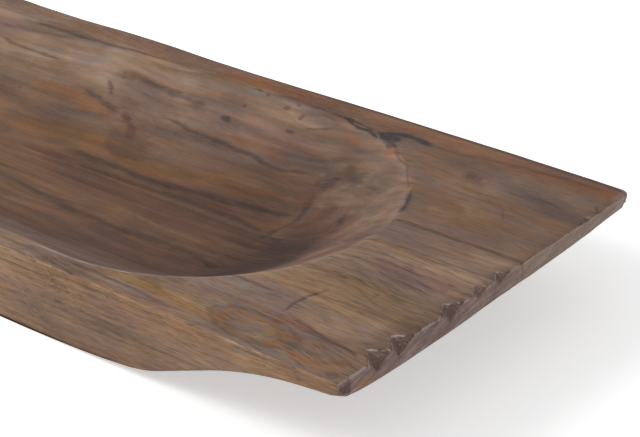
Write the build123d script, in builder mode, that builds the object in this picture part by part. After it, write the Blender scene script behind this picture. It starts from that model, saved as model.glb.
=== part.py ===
"""A long wooden dough bowl, glued up from three boards and then carved as one block.

The boards run the length of the bowl and meet along two straight glue lines. The block is
hollowed into a shallow trough with round ends. Underneath, a flat belly carries the bowl,
and at each end the wood sweeps up to a thin ledge, which serves as a grip.

+X runs along the bowl, -Y is its front, +Z is up. The origin is under the middle of the
bowl, on the surface that it rests on. All lengths are in millimetres.
"""

import os
from math import radians, sqrt, tan

from build123d import *

os.makedirs("parts", exist_ok=True)

# The block
bowl_length = 890.0
bowl_width = 336.0  # to the sharp upper corners, before they are rounded
bowl_height = 76.0
side_lean = 17.0  # degrees, how far the long sides lean in towards the belly
side_edge_radius = 4.0  # long lower edges
arris_radius = 1.0  # long upper outer edges
front_corner_radius = 3.0  # seen from above
back_corner_radius = 10.0

# The hollow
hollow_depth = 52.0
front_rim = 17.0  # flat rim beside the hollow, along the front
back_rim = 26.0
end_deck = 102.0  # flat deck between each end and the hollow
floor_width = 105.0  # between the lines where floor and walls would meet in a sharp corner
foot_radius = 95.0  # the hollow curve that joins them instead
lip_radius = 4.0  # rounded edge between the walls and the rim

# The underside
end_thickness = 15.0
ledge_length = 77.0  # how far each end ledge reaches in from its end
ledge_thickness = 22.0  # at the ledge's inner end
ledge_radius = 250.0  # the curve from the ledge into the sweep
belly_setback = 182.0  # from each end to where the sweep meets the belly
belly_rise = 6.7  # how far the belly's ends stand clear of the table
belly_radius = 85.0  # the curve from the sweep into the belly
rocker_length = 75.0  # how far the belly's risen ends reach in
rocker_radius = 800.0  # the curve from a risen end into the flat of the belly
end_edge_radius = 3.5  # lower edge of each end

# The glue lines, by the board widths in front of them
front_board_width = 166.0
stave_width = 32.0
glue_thickness = 0.3

# Chips broken out of the upper edge of the right end
chip_width = 22.0  # the largest one, along the edge
chip_depth = 7.0  # how far it reaches in from the end
chip_size_shares = [0.8, 0.9, 1.0, 0.55, 0.5]
chip_places_shares = [0.128, 0.193, 0.351, 0.443, 0.52]  # of the bowl's width, from the front

# Places that follow from the sizes above, in the bowl's frame
half_length = bowl_length / 2
half_width = bowl_width / 2
hollow_radius = (bowl_width - front_rim - back_rim) / 2
hollow_y = (front_rim - back_rim) / 2
hollow_end_x = half_length - end_deck - hollow_radius
seam_front_y = front_board_width - half_width
seam_back_y = seam_front_y + stave_width
overrun = bowl_height  # how far cutting bodies pass the surfaces that they open


def plan_outline():
    """Give the view from above: a long rectangle with rounded corners."""
    with BuildSketch() as outline:
        with BuildLine():
            FilletPolyline(
                (-half_length, -half_width),
                (half_length, -half_width),
                (half_length, half_width),
                (-half_length, half_width),
                radius=[front_corner_radius] * 2 + [back_corner_radius] * 2,
                close=True,
            )
        make_face()
    return outline.sketch


def underside_outline():
    """Give the long side view: flat deck, swept-up ends and a belly that rises near its ends."""
    with BuildSketch(Plane.XZ) as outline:
        with BuildLine():
            FilletPolyline(
                (half_length, bowl_height),
                (half_length, bowl_height - end_thickness),
                (half_length - ledge_length, bowl_height - ledge_thickness),
                (half_length - belly_setback, belly_rise),
                (half_length - belly_setback - rocker_length, 0),
                (0, 0),
                radius=[end_edge_radius, ledge_radius, belly_radius, rocker_radius],
            )
            mirror(about=Plane.YZ)
            Line((-half_length, bowl_height), (half_length, bowl_height))
        make_face()
    return outline.sketch


def cross_outline():
    """Give the section across the bowl: a wide top, leaning sides and rounded lower edges."""
    foot = half_width - bowl_height * tan(radians(side_lean))
    with BuildSketch(Plane.YZ) as outline:
        with BuildLine():
            FilletPolyline(
                (0, bowl_height),
                (half_width, bowl_height),
                (foot, 0),
                (0, 0),
                radius=[arris_radius, side_edge_radius],
            )
            mirror(about=Plane.YZ)
        make_face()
    return outline.sketch


def hollow_section(plane):
    """Give half the section of the hollow, from its middle out to the rim and past the deck."""
    floor = bowl_height - hollow_depth
    wall_run = hollow_radius - floor_width / 2
    wall_reach = hollow_radius + overrun * wall_run / hollow_depth
    with BuildSketch(plane) as outline:
        with BuildLine():
            FilletPolyline(
                (0, floor),
                (floor_width / 2, floor),
                (wall_reach, bowl_height + overrun),
                radius=foot_radius,
            )
            Polyline((wall_reach, bowl_height + overrun), (0, bowl_height + overrun), (0, floor))
        make_face()
    return outline.sketch


def across(x):
    """Give the upright plane across the bowl at x, drawn from the middle of the hollow."""
    return Plane(origin=(x, hollow_y, 0), x_dir=(0, 1, 0), z_dir=(1, 0, 0))


def keep_between(low_y, high_y):
    """Cut the piece in hand down to what lies between two upright planes along the bowl."""
    with Locations((0, (low_y + high_y) / 2, bowl_height / 2)):
        Box(bowl_length + overrun, high_y - low_y, bowl_height + overrun, mode=Mode.INTERSECT)


# The hollow as a solid: a straight trough with a round end each way
with BuildPart() as hollow:
    extrude(hollow_section(across(-hollow_end_x)), amount=2 * hollow_end_x)
    mirror(about=Plane.XZ.offset(-hollow_y))
    for end_x in (-hollow_end_x, hollow_end_x):
        revolve(hollow_section(across(end_x)), axis=Axis((end_x, hollow_y, 0), (0, 0, 1)))

# The carved block, before it is told apart into its boards
with BuildPart() as carving:
    extrude(plan_outline(), amount=bowl_height)
    extrude(underside_outline(), amount=half_width, both=True, mode=Mode.INTERSECT)
    extrude(cross_outline(), amount=half_length, both=True, mode=Mode.INTERSECT)
    add(hollow.part, mode=Mode.SUBTRACT)
    deck = carving.faces().sort_by(Axis.Z)[-1]
    fillet(deck.inner_wires().edges(), radius=lip_radius)
    for place_share, size_share in zip(chip_places_shares, chip_size_shares):
        # A scoop whose bed is a sphere, set out from the edge by the same reach both ways
        half_chip = size_share * chip_width / 2
        depth = size_share * chip_depth
        reach = (half_chip**2 - depth**2) / (2 * depth)
        with Locations((half_length + reach, place_share * bowl_width - half_width, bowl_height + reach)):
            Sphere(radius=sqrt(2 * reach**2 + half_chip**2), mode=Mode.SUBTRACT)

# The wide front board
with BuildPart() as front_board:
    add(carving.part)
    keep_between(-half_width - overrun, seam_front_y - glue_thickness / 2)
front_board.part.label = "front_board"
export_step(front_board.part, "parts/front_board.step")

# The narrow stave in the middle
with BuildPart() as middle_stave:
    add(carving.part)
    keep_between(seam_front_y + glue_thickness / 2, seam_back_y - glue_thickness / 2)
middle_stave.part.label = "middle_stave"
export_step(middle_stave.part, "parts/middle_stave.step")

# The back board
with BuildPart() as back_board:
    add(carving.part)
    keep_between(seam_back_y + glue_thickness / 2, half_width + overrun)
back_board.part.label = "back_board"
export_step(back_board.part, "parts/back_board.step")

# The glue between the front board and the stave
with BuildPart() as glue_line_front:
    add(carving.part)
    keep_between(seam_front_y - glue_thickness / 2, seam_front_y + glue_thickness / 2)
glue_line_front.part.label = "glue_line_front"
export_step(glue_line_front.part, "parts/glue_line_front.step")

# The glue between the stave and the back board
with BuildPart() as glue_line_back:
    add(carving.part)
    keep_between(seam_back_y - glue_thickness / 2, seam_back_y + glue_thickness / 2)
glue_line_back.part.label = "glue_line_back"
export_step(glue_line_back.part, "parts/glue_line_back.step")
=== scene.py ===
"""Looks of a long wooden dough bowl: three glued boards, carved as one block and well worn.

Every shape is worked out in millimetres in the bowl's own frame and becomes metres at the
last step. +X runs along the bowl, -Y is its front, +Z is up, and the origin is under its
middle, on the surface that it rests on.
"""

import logging
import math
from dataclasses import dataclass
from enum import Enum
from typing import Any, Optional, Sequence, Union

import bpy
import numpy as np
from mathutils import Euler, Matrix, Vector


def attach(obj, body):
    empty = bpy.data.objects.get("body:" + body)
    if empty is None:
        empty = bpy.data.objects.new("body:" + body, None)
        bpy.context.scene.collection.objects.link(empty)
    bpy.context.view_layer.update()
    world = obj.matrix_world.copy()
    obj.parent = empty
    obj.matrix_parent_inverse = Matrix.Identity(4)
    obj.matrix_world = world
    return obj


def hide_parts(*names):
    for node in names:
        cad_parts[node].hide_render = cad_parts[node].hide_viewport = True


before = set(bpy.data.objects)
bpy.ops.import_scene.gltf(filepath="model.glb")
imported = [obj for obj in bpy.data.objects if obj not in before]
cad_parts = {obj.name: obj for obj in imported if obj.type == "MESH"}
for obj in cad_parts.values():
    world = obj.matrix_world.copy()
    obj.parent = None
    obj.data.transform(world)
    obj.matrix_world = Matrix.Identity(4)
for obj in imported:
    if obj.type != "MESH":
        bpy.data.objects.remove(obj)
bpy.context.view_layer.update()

MM = 0.001  # metres in a millimetre
CM3_PER_M3 = 1e6
LOG = logging.getLogger("dough_bowl")

Number = Union[float, "Term"]
Colour = tuple[float, float, float]
Paint = Union[bpy.types.NodeSocket, Colour]
Knots = tuple[tuple[float, float], ...]
Range = tuple[float, float]
Settings = Optional[dict[str, Any]]


# Node expressions

class Term:
    """One number socket of a node tree, which Python's operators work on."""

    def __init__(self, graph: "Graph", socket: bpy.types.NodeSocket) -> None:
        """Keep the socket and the graph that it belongs to.

        Args:
            graph: The builder of the socket's tree.
            socket: An output socket.
        """
        self.graph = graph
        self.socket = socket

    def __add__(self, other: Number) -> "Term":
        """Give self + other."""
        return self.graph.maths("ADD", self, other)

    __radd__ = __add__

    def __sub__(self, other: Number) -> "Term":
        """Give self - other."""
        return self.graph.maths("SUBTRACT", self, other)

    def __rsub__(self, other: Number) -> "Term":
        """Give other - self."""
        return self.graph.maths("SUBTRACT", other, self)

    def __mul__(self, other: Number) -> "Term":
        """Give self times other."""
        return self.graph.maths("MULTIPLY", self, other)

    __rmul__ = __mul__

    def __truediv__(self, other: Number) -> "Term":
        """Give self divided by other."""
        return self.graph.maths("DIVIDE", self, other)

    def __rtruediv__(self, other: Number) -> "Term":
        """Give other divided by self."""
        return self.graph.maths("DIVIDE", other, self)

    def __pow__(self, other: Number) -> "Term":
        """Give self to the power of other."""
        return self.graph.maths("POWER", self, other)

    def __neg__(self) -> "Term":
        """Give -self."""
        return self.graph.maths("MULTIPLY", self, -1.0)

    def __abs__(self) -> "Term":
        """Give the size of self without its sign."""
        return self.graph.maths("ABSOLUTE", self)

    def floor(self) -> "Term":
        """Give the whole number below self."""
        return self.graph.maths("FLOOR", self)

    def root(self) -> "Term":
        """Give the square root of self, or 0 below 0."""
        return self.graph.maths("SQRT", self.least(0.0))

    def sine(self) -> "Term":
        """Give the sine of self in radians."""
        return self.graph.maths("SINE", self)

    def cosine(self) -> "Term":
        """Give the cosine of self in radians."""
        return self.graph.maths("COSINE", self)

    def least(self, low: Number) -> "Term":
        """Give self, but never less than low."""
        return self.graph.maths("MAXIMUM", self, low)

    def most(self, high: Number) -> "Term":
        """Give self, but never more than high."""
        return self.graph.maths("MINIMUM", self, high)

    def within(self, low: Number, high: Number) -> "Term":
        """Give self held between low and high."""
        return self.least(low).most(high)

    def over(self, edge: Number) -> "Term":
        """Give 1 where self is greater than edge, and 0 elsewhere."""
        return self.graph.maths("GREATER_THAN", self, edge)

    def eased(self, start: Number, end: Number, high: float = 1.0) -> "Term":
        """Give a smooth step from 0 at start to high at end, which may be the lower of the two."""
        return self.graph.term(self.graph.add(
            "ShaderNodeMapRange", {"interpolation_type": "SMOOTHSTEP"},
            {"Value": self, "From Min": start, "From Max": end, "To Max": high}))

    def ramped(self, start: float, end: float, low: float = 0.0, high: float = 1.0) -> "Term":
        """Give a straight ramp from low at start to high at end, flat outside them."""
        slope = (high - low) / (end - start)
        level = self.graph.maths("MULTIPLY_ADD", self, slope, low - start * slope)
        return level.within(min(low, high), max(low, high))


class Graph:
    """Makes the nodes of one tree, the same way for shapes and for finishes."""

    def __init__(self, tree: bpy.types.NodeTree) -> None:
        """Keep the tree.

        Args:
            tree: A shader or geometry tree, which may already hold nodes.
        """
        self.tree = tree

    def add(self, kind: str, settings: Settings = None,
            inputs: Optional[dict[Union[str, int], Any]] = None) -> bpy.types.Node:
        """Make one node.

        Args:
            kind: The node's type.
            settings: Its properties, with "points" for a curve's.
            inputs: Values or links for its sockets, by name or by number.

        Returns:
            The node.
        """
        node = self.tree.nodes.new(kind)
        for name, value in (settings or {}).items():
            if name == "points":
                self._set_points(node.mapping, value)
            else:
                setattr(node, name, value)
        for key, value in (inputs or {}).items():
            self.feed(node.inputs[key], value)
        return node

    @staticmethod
    def _set_points(mapping: bpy.types.CurveMapping, points: Sequence[tuple[float, float]]) -> None:
        """Give a float curve its points.

        Args:
            mapping: The curve mapping.
            points: Points with both values from 0 to 1, in order.
        """
        curve = mapping.curves[0]
        while len(curve.points) < len(points):
            curve.points.new(1.0, 1.0)
        for point, place in zip(curve.points, points):
            point.location = place
        mapping.extend = "HORIZONTAL"
        mapping.update()

    def feed(self, socket: bpy.types.NodeSocket, value: Any) -> None:
        """Link a term or a socket to an input, or set the input's own value.

        Args:
            socket: The input.
            value: A term, an output socket or a plain value.
        """
        if isinstance(value, Term):
            self.tree.links.new(value.socket, socket)
        elif isinstance(value, bpy.types.NodeSocket):
            self.tree.links.new(value, socket)
        elif socket.type == "RGBA" and len(value) == 3:
            socket.default_value = (*value, 1.0)
        else:
            socket.default_value = value

    def term(self, node: bpy.types.Node, output: Union[str, int] = 0) -> Term:
        """Give one output of a node as a term."""
        return Term(self, node.outputs[output])

    def maths(self, operation: str, *values: Number) -> Term:
        """Add a Math node.

        Args:
            operation: Its operation.
            values: One to three numbers or terms.

        Returns:
            Its result.
        """
        return self.term(self.add("ShaderNodeMath", {"operation": operation},
                                  dict(enumerate(values))))

    def number(self, value: float) -> Term:
        """Give a plain number as a term."""
        return self.maths("ADD", value, 0.0)

    def point(self, x: Number, y: Number, z: Number) -> bpy.types.NodeSocket:
        """Join three numbers into a vector."""
        return self.add("ShaderNodeCombineXYZ", None, {"X": x, "Y": y, "Z": z}).outputs[0]

    def parts(self, vector: bpy.types.NodeSocket) -> list["Term"]:
        """Split a vector into its three numbers."""
        node = self.add("ShaderNodeSeparateXYZ", None, {0: vector})
        return [self.term(node, number) for number in range(3)]

    def mix(self, share: Number, one: Paint, other: Paint,
            blend: str = "MIX") -> bpy.types.NodeSocket:
        """Mix two colours.

        Args:
            share: How much the second one does.
            one: The first colour.
            other: The second colour.
            blend: How it acts on the first.

        Returns:
            The mixed colour.
        """
        node = self.add("ShaderNodeMix", {"data_type": "RGBA", "blend_type": blend},
                        {0: share, 6: one, 7: other})
        return node.outputs[2]

    def tinted(self, share: Number, colour: Paint, tint: Paint) -> bpy.types.NodeSocket:
        """Multiply a colour by a tint, by as much of it as the share says."""
        return self.mix(share, colour, tint, "MULTIPLY")

    def scaled(self, colour: Paint, share: Number) -> bpy.types.NodeSocket:
        """Make a colour lighter or darker."""
        grey = self.add("ShaderNodeCombineColor", None, {0: share, 1: share, 2: share})
        return self.tinted(1.0, colour, grey.outputs[0])

    def noise(self, place: bpy.types.NodeSocket, detail: float = 2.0,
              roughness: float = 0.5) -> Term:
        """Add a noise whose features are about one unit of place in size.

        Args:
            place: A vector.
            detail: How many finer layers it has.
            roughness: How strong these are.

        Returns:
            Its value, about 0.5 on average.
        """
        return self.term(self.add("ShaderNodeTexNoise", {"noise_dimensions": "3D"}, {
            "Vector": place, "Scale": 1.0, "Detail": detail, "Roughness": roughness}))

    def wave(self, x: Number, y: Number, length: float, width: float, seed: float) -> Term:
        """Give a soft wave over the plan of the bowl.

        Args:
            x: Place along the bowl.
            y: Place across it.
            length: How long its features are.
            width: How wide they are.
            seed: A number that tells it from other waves.

        Returns:
            The wave, about 0 on average and 1 from its lowest to its highest.
        """
        return self.noise(self.point(x / length, y / width, seed), 1.0) - 0.5

    def eased_max(self, one: Number, other: Number, reach: Number) -> Term:
        """Give the greater of two terms, with a rounded change from one to the other.

        Args:
            one: A term.
            other: A term or a number.
            reach: The difference at which the rounding starts.

        Returns:
            The rounded maximum.
        """
        return self.maths("MAXIMUM", one, other) + self._lap(one, other, reach)

    def eased_min(self, one: Term, other: Number, reach: Number) -> Term:
        """Give the lesser of two terms, with a rounded change, as eased_max does."""
        return self.maths("MINIMUM", one, other) - self._lap(one, other, reach)

    def _lap(self, one: Number, other: Number, reach: Number) -> Term:
        """Give how far a rounded change stands off the two terms that it joins."""
        lap = (reach - abs(self.maths("SUBTRACT", one, other))).least(0.0)
        return lap * lap / (4.0 * reach)

    def along(self, value: Term, knots: Knots) -> Term:
        """Read a smooth path through knots.

        Args:
            value: Where along the path to read it.
            knots: Places along the path and the path's value there, in order.

        Returns:
            The path's value, level before the first knot and after the last.
        """
        start, end = knots[0][0], knots[-1][0]
        low = min(level for _, level in knots)
        span = max(max(level for _, level in knots) - low, 1.0)
        points = [((place - start) / (end - start), (level - low) / span) for place, level in knots]
        share = self.maths("MULTIPLY_ADD", value, 1.0 / (end - start), -start / (end - start))
        curve = self.term(self.add("ShaderNodeFloatCurve", {"points": points}, {"Value": share}))
        return self.maths("MULTIPLY_ADD", curve, span, low)


# Colours and marks

def srgb(red: float, green: float, blue: float) -> Colour:
    """Give a colour's linear values from its values on a screen.

    Args:
        red: Its red, up to 255.
        green: Its green.
        blue: Its blue.

    Returns:
        The same colour as light adds it up.
    """
    shares = [value / 255.0 for value in (red, green, blue)]
    return tuple(share / 12.92 if share < 0.04045 else ((share + 0.055) / 1.055) ** 2.4
                 for share in shares)


class Tint(Enum):
    """What a mark does to the colour of the wood under it, by which it is multiplied."""

    # Painted shade inside a small hole
    HOLE_SHADE = (0.30, 0.28, 0.28)
    DARK = (0.50, 0.45, 0.45)
    BROWN = (0.74, 0.64, 0.60)
    MAROON = (0.70, 0.52, 0.54)
    MAUVE = (0.96, 0.88, 1.00)
    INK = (0.17, 0.19, 0.29)
    GREY = (0.90, 0.97, 1.08)
    OLIVE = (0.86, 0.87, 0.62)
    OCHRE = (1.20, 1.06, 0.60)
    ORANGE = (0.98, 0.74, 0.46)
    RUST = (1.00, 0.78, 0.62)
    TAN = (1.28, 1.22, 1.12)
    PALE = (1.45, 1.48, 1.52)


@dataclass(frozen=True)
class Streak:
    """A line or a band of another tint along the grain, or across it where it is turned.

    One with a depth is an open crack, which is cut into the board as well.
    """

    tint: Tint
    knots: Knots
    width: float
    strength: float = 1.0
    depth: float = 0.0
    across: bool = False
    fade: float = 0.25


@dataclass(frozen=True)
class Stain:
    """A patch of another tint: an ellipse with a ragged edge."""

    tint: Tint
    x: float
    y: float
    half_length: float
    half_width: float
    turn: float = 0.0
    strength: float = 1.0
    soft: float = 0.6
    ragged: float = 1.4
    outline: bool = False


@dataclass(frozen=True)
class Knot:
    """A knot or a swelling of the growth rings, which draw ovals around it."""

    x: float
    y: float
    half_length: float
    half_width: float
    rings: float


@dataclass(frozen=True)
class Grain:
    """How the growth rings and the fibres of one board lie, in millimetres."""

    pith_y: float
    pith_z: float
    spacing: float
    dip: float
    waver: float
    ripple: float
    rings: float
    fibre: float
    flecks: float
    seed: float
    stretch: float
    knots: tuple[Knot, ...] = ()


# The carved block

@dataclass(frozen=True)
class Chip:
    """A chip broken out of the upper edge of an end, as two facets that meet in a valley.

    Places along the edge are y, and the apex is the inmost point of the chip.
    """

    apex_reach: float
    apex_y: float
    front_y: float
    back_y: float
    bottom_y: float
    depth: float

    def facet(self, foot_y: float) -> tuple[float, float, float]:
        """Give the plane through the apex, a foot on the edge and the chip's lowest point.

        Args:
            foot_y: Where the facet leaves the edge of the deck.

        Returns:
            How the plane's height below the deck changes with reach and y, and its height at 0.
        """
        rise = self.depth / (self.bottom_y - foot_y)
        across = -rise
        level = rise * foot_y
        inward = -(across * self.apex_y + level) / self.apex_reach
        return inward, across, level


@dataclass(frozen=True)
class Carving:
    """Sizes of the carved block in millimetres, as in the solid model.

    Only the back corners differ, which wear has made a little tighter. The three rounds say at
    what difference in height one slope of the underside starts to turn into the next.
    """

    length: float = 890.0
    width: float = 336.0
    height: float = 76.0
    side_lean: float = math.radians(17.0)
    side_edge_radius: float = 4.0
    front_corner_radius: float = 3.0
    back_corner_radius: float = 8.0
    hollow_depth: float = 52.0
    hollow_radius: float = 146.5
    hollow_y: float = -4.5
    hollow_end_x: float = 196.5
    floor_half: float = 52.5
    foot_radius: float = 95.0
    end_thickness: float = 15.0
    ledge_length: float = 77.0
    ledge_thickness: float = 22.0
    ledge_round: float = 15.1
    belly_setback: float = 182.0
    belly_rise: float = 6.7
    belly_round: float = 5.2
    rocker_length: float = 75.0
    rocker_round: float = 5.5
    end_edge_radius: float = 3.5

    @property
    def wall_slope(self) -> float:
        """Give the tangent of the hollow's wall."""
        return self.hollow_depth / (self.hollow_radius - self.floor_half)

    @property
    def foot_span(self) -> float:
        """Give how wide the foot's curve is, seen from above."""
        return self.foot_radius * math.sin(math.atan(self.wall_slope))

    @property
    def foot_start(self) -> float:
        """Give where the foot's curve leaves the flat floor."""
        return self.floor_half - self.foot_radius * math.tan(math.atan(self.wall_slope) / 2)


@dataclass(frozen=True)
class Wear:
    """Sizes of the carving's unevenness and wear, in millimetres."""

    end_arris: float = 1.2
    crisp_lip: float = 0.9
    soft_lip: float = 2.2
    back_lip: float = 1.3
    end_profile: Knots = (
        (-168.0, -3.6), (-153.0, -0.4), (-129.0, 1.8), (-100.0, 2.6), (-53.0, 2.6), (1.0, 0.9),
        (58.0, 0.1), (103.0, -1.7), (134.0, -3.9), (152.0, -5.4), (168.0, -6.4))
    end_profile_reach: float = 115.0
    back_edge: Knots = (
        (-445.0, 0.0), (-330.0, 1.8), (-200.0, 0.8), (-160.0, 0.4), (-109.0, -0.9), (-19.0, 1.6),
        (80.0, -0.6), (190.0, 1.0), (320.0, 2.1), (390.0, 1.6), (445.0, 0.2))
    corner_lift: float = 5.0
    corner_reach: float = 11.0
    tip_lift: float = 3.0
    lower_edge: float = 2.0
    hollow_wave: float = 1.6
    deck_wave: float = 0.7
    outline_wave: float = 2.0
    tool_wave: float = 0.5
    chip_roughness: float = 3.6
    end_setback: float = 1.2
    thinnest: float = 0.8


@dataclass(frozen=True)
class Mesh:
    """How finely a board's walls and ends are divided, and how its points are joined."""

    outer_rows: int = 30
    arris_rows: int = 5
    seam_rows: int = 6
    cap_rings: int = 7
    weld: float = 0.002
    sharp_angle: float = math.radians(50.0)


@dataclass(frozen=True)
class Block:
    """All that the boards share: the carved block, its wear, its chips and its mesh."""

    carving: Carving
    wear: Wear
    mesh: Mesh
    chips: tuple[Chip, ...]


class Surface:
    """The carved block's surfaces as node expressions, for shapes and finishes alike."""

    def __init__(self, graph: Graph, block: Block) -> None:
        """Keep the sizes.

        Args:
            graph: The builder of the tree that the expressions go into.
            block: The carved block.
        """
        self.graph = graph
        self.carving = block.carving
        self.wear = block.wear
        self.chips = block.chips

    def reach(self, x: Term, y: Term) -> Term:
        """Give the distance from the middle line of the hollow, seen from above.

        Args:
            x: Place along the bowl.
            y: Place across it.

        Returns:
            The distance, which is the hollow's radius at its lip.
        """
        past = (abs(x) - self.carving.hollow_end_x).least(0.0)
        aside = y - self.carving.hollow_y
        return (past * past + aside * aside).root()

    def hollow(self, x: Term, y: Term) -> Term:
        """Give how deep the hollow is below the deck, less than 0 outside its lip.

        Args:
            x: Place along the bowl.
            y: Place across it.

        Returns:
            The depth.
        """
        size = self.carving
        wave = self.graph.wave(x, y, 90.0, 90.0, 3.0)
        reach = self.reach(x, y) + wave * self.wear.outline_wave
        turn = (reach - size.foot_start).within(0.0, size.foot_span)
        rise = size.foot_radius - (size.foot_radius ** 2 - turn * turn).root()
        straight = (reach - size.foot_start - size.foot_span).least(0.0) * size.wall_slope
        return size.hollow_depth - rise - straight

    def lip(self, x: Term, y: Term) -> Term:
        """Give how softly the hollow's lip is rounded: crisp in front, soft at the ends."""
        wear = self.wear
        side = y.eased(0.0, 120.0) * (wear.back_lip - wear.crisp_lip) + wear.crisp_lip
        end = abs(x).eased(150.0, 260.0)
        return side + (wear.soft_lip - side) * end

    def top(self, x: Term, y: Term) -> Term:
        """Give the height of the deck and the hollow.

        Args:
            x: Place along the bowl.
            y: Place across it.

        Returns:
            The height above the rest surface.
        """
        size, wear, graph = self.carving, self.wear, self.graph
        depth = graph.eased_max(self.hollow(x, y), 0.0, self.lip(x, y))
        inside = depth.eased(0.0, 12.0)
        broad = graph.wave(x, y, 60.0, 34.0, 0.0)
        fine = graph.wave(x, y, 26.0, 15.0, 7.0)
        wave = broad * (inside * wear.hollow_wave + wear.deck_wave) \
            + fine * (inside + 0.4) * wear.tool_wave
        return size.height - wear.deck_wave * 0.3 - depth + wave

    def chip_bed(self, x: Term, y: Term) -> Term:
        """Give the height of the chips' facets above the deck, less than 0 inside a chip.

        Args:
            x: Place along the bowl.
            y: Place across it.

        Returns:
            The lowest facet's height.
        """
        reach = self.carving.length / 2 - x
        rough = self.graph.noise(self.graph.point(x / 4.2, y / 3.6, 1.0))
        lowest: Number = self.carving.height
        for chip in self.chips:
            facets = []
            for foot_y in (chip.front_y, chip.back_y):
                inward, across, level = chip.facet(foot_y)
                facets.append(self.graph.maths("MULTIPLY_ADD", y, across, reach * inward + level))
            lowest = self.graph.maths("MAXIMUM", *facets).most(lowest)
        return lowest + (rough - 0.5) * self.wear.chip_roughness

    def under(self, x: Term) -> Term:
        """Give the height of the underside along the middle, before its edges are eased."""
        size, graph = self.carving, self.graph
        reach = size.length / 2 - abs(x)
        ledge = reach * ((size.ledge_thickness - size.end_thickness) / size.ledge_length) \
            + size.end_thickness
        belly_end = size.height - size.belly_rise
        sweep_slope = (belly_end - size.ledge_thickness) / (size.belly_setback - size.ledge_length)
        sweep = (reach - size.ledge_length) * sweep_slope + size.ledge_thickness
        rocker = (reach - size.belly_setback) * (size.belly_rise / size.rocker_length) + belly_end
        drop = graph.eased_max(ledge, sweep, size.ledge_round)
        drop = graph.eased_min(drop, rocker, size.belly_round)
        return size.height - graph.eased_min(drop, size.height, size.rocker_round)

    def bottom(self, x: Term, y: Term) -> Term:
        """Give the height of the underside with its thinned back corners and eased edges.

        Args:
            x: Place along the bowl.
            y: Place across it.

        Returns:
            The height above the rest surface.
        """
        size, wear = self.carving, self.wear
        reach = size.length / 2 - abs(x)
        lift = -self.graph.along(y, wear.end_profile) * reach.eased(wear.end_profile_reach, 0.0)
        radius = size.end_edge_radius - y.eased(60.0, size.width / 2) * 1.5
        turn = radius - reach.most(radius)
        end = radius - (radius * radius - turn * turn).root()
        near_end = (1.0 - reach / wear.corner_reach).least(0.0)
        corner = near_end * (1.0 - (y + size.width / 2) / wear.corner_reach).least(0.0)
        tip = near_end * (1.0 - (size.width / 2 - y) / wear.corner_reach).least(0.0)
        level = self.under(x)
        inset = (self.side(level, x, y) - abs(y)).within(0.0, wear.lower_edge)
        left = wear.lower_edge - inset
        edge = wear.lower_edge - (wear.lower_edge ** 2 - left * left).root()
        edge = edge * level.eased(2.0, 10.0)
        return level + lift + end + corner * wear.corner_lift + tip * wear.tip_lift + edge

    def corner(self, x: Term, y: Term) -> Term:
        """Give how far the rounded corner of the plan draws the long side in."""
        size = self.carving
        back = y.over(0.0)
        radius = back * (size.back_corner_radius - size.front_corner_radius) \
            + size.front_corner_radius
        past = (abs(x) - (size.length / 2 - radius)).within(0.0, radius)
        return radius - (radius * radius - past * past).root()

    def side(self, z: Term, x: Term, y: Term) -> Term:
        """Give how far from the middle the leaning long side is.

        Args:
            z: The height on the side.
            x: Place along the bowl.
            y: Anything on the same side of the middle, for its sign.

        Returns:
            The distance from the middle plane.
        """
        size = self.carving
        lean = math.tan(size.side_lean)
        tangent = size.side_edge_radius * math.tan((math.pi / 2 - size.side_lean) / 2)
        join = tangent * math.cos(size.side_lean)
        straight = size.width / 2 - (size.height - z.least(join)) * lean
        low = size.side_edge_radius - z.most(join)
        round_in = (size.side_edge_radius ** 2 - low * low).root() \
            - math.sqrt(size.side_edge_radius ** 2 - (size.side_edge_radius - join) ** 2)
        bulge = y.over(0.0) * self.graph.along(x, self.wear.back_edge)
        return straight + round_in - self.corner(x, y) + bulge


class Wall(Enum):
    """How a board's long wall is made."""

    OUTER = "leaning side of the bowl"
    SEAM = "upright joint with its neighbour"


@dataclass(frozen=True)
class Band:
    """A run of the mesh's columns or stations: where it ends and how many cells it has."""

    end: Number
    cells: int


# The mesh's stations along the bowl, closest together at its ends
STATIONS = (
    Band(-443.8, 4), Band(-440.0, 3), Band(-430.0, 5), Band(-343.0, 29), Band(-196.0, 66),
    Band(100.0, 98), Band(190.0, 40), Band(345.0, 97), Band(430.0, 50), Band(439.0, 8),
    Band(443.8, 6), Band(445.0, 5),
)


@dataclass(frozen=True)
class BoardShape:
    """What one board or glue film keeps of the carved block, in millimetres."""

    low_y: float
    high_y: float
    low_wall: Wall
    high_wall: Wall
    low_edge: float
    high_edge: float
    columns: tuple[Band, ...]
    recess: float = 0.0


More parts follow.
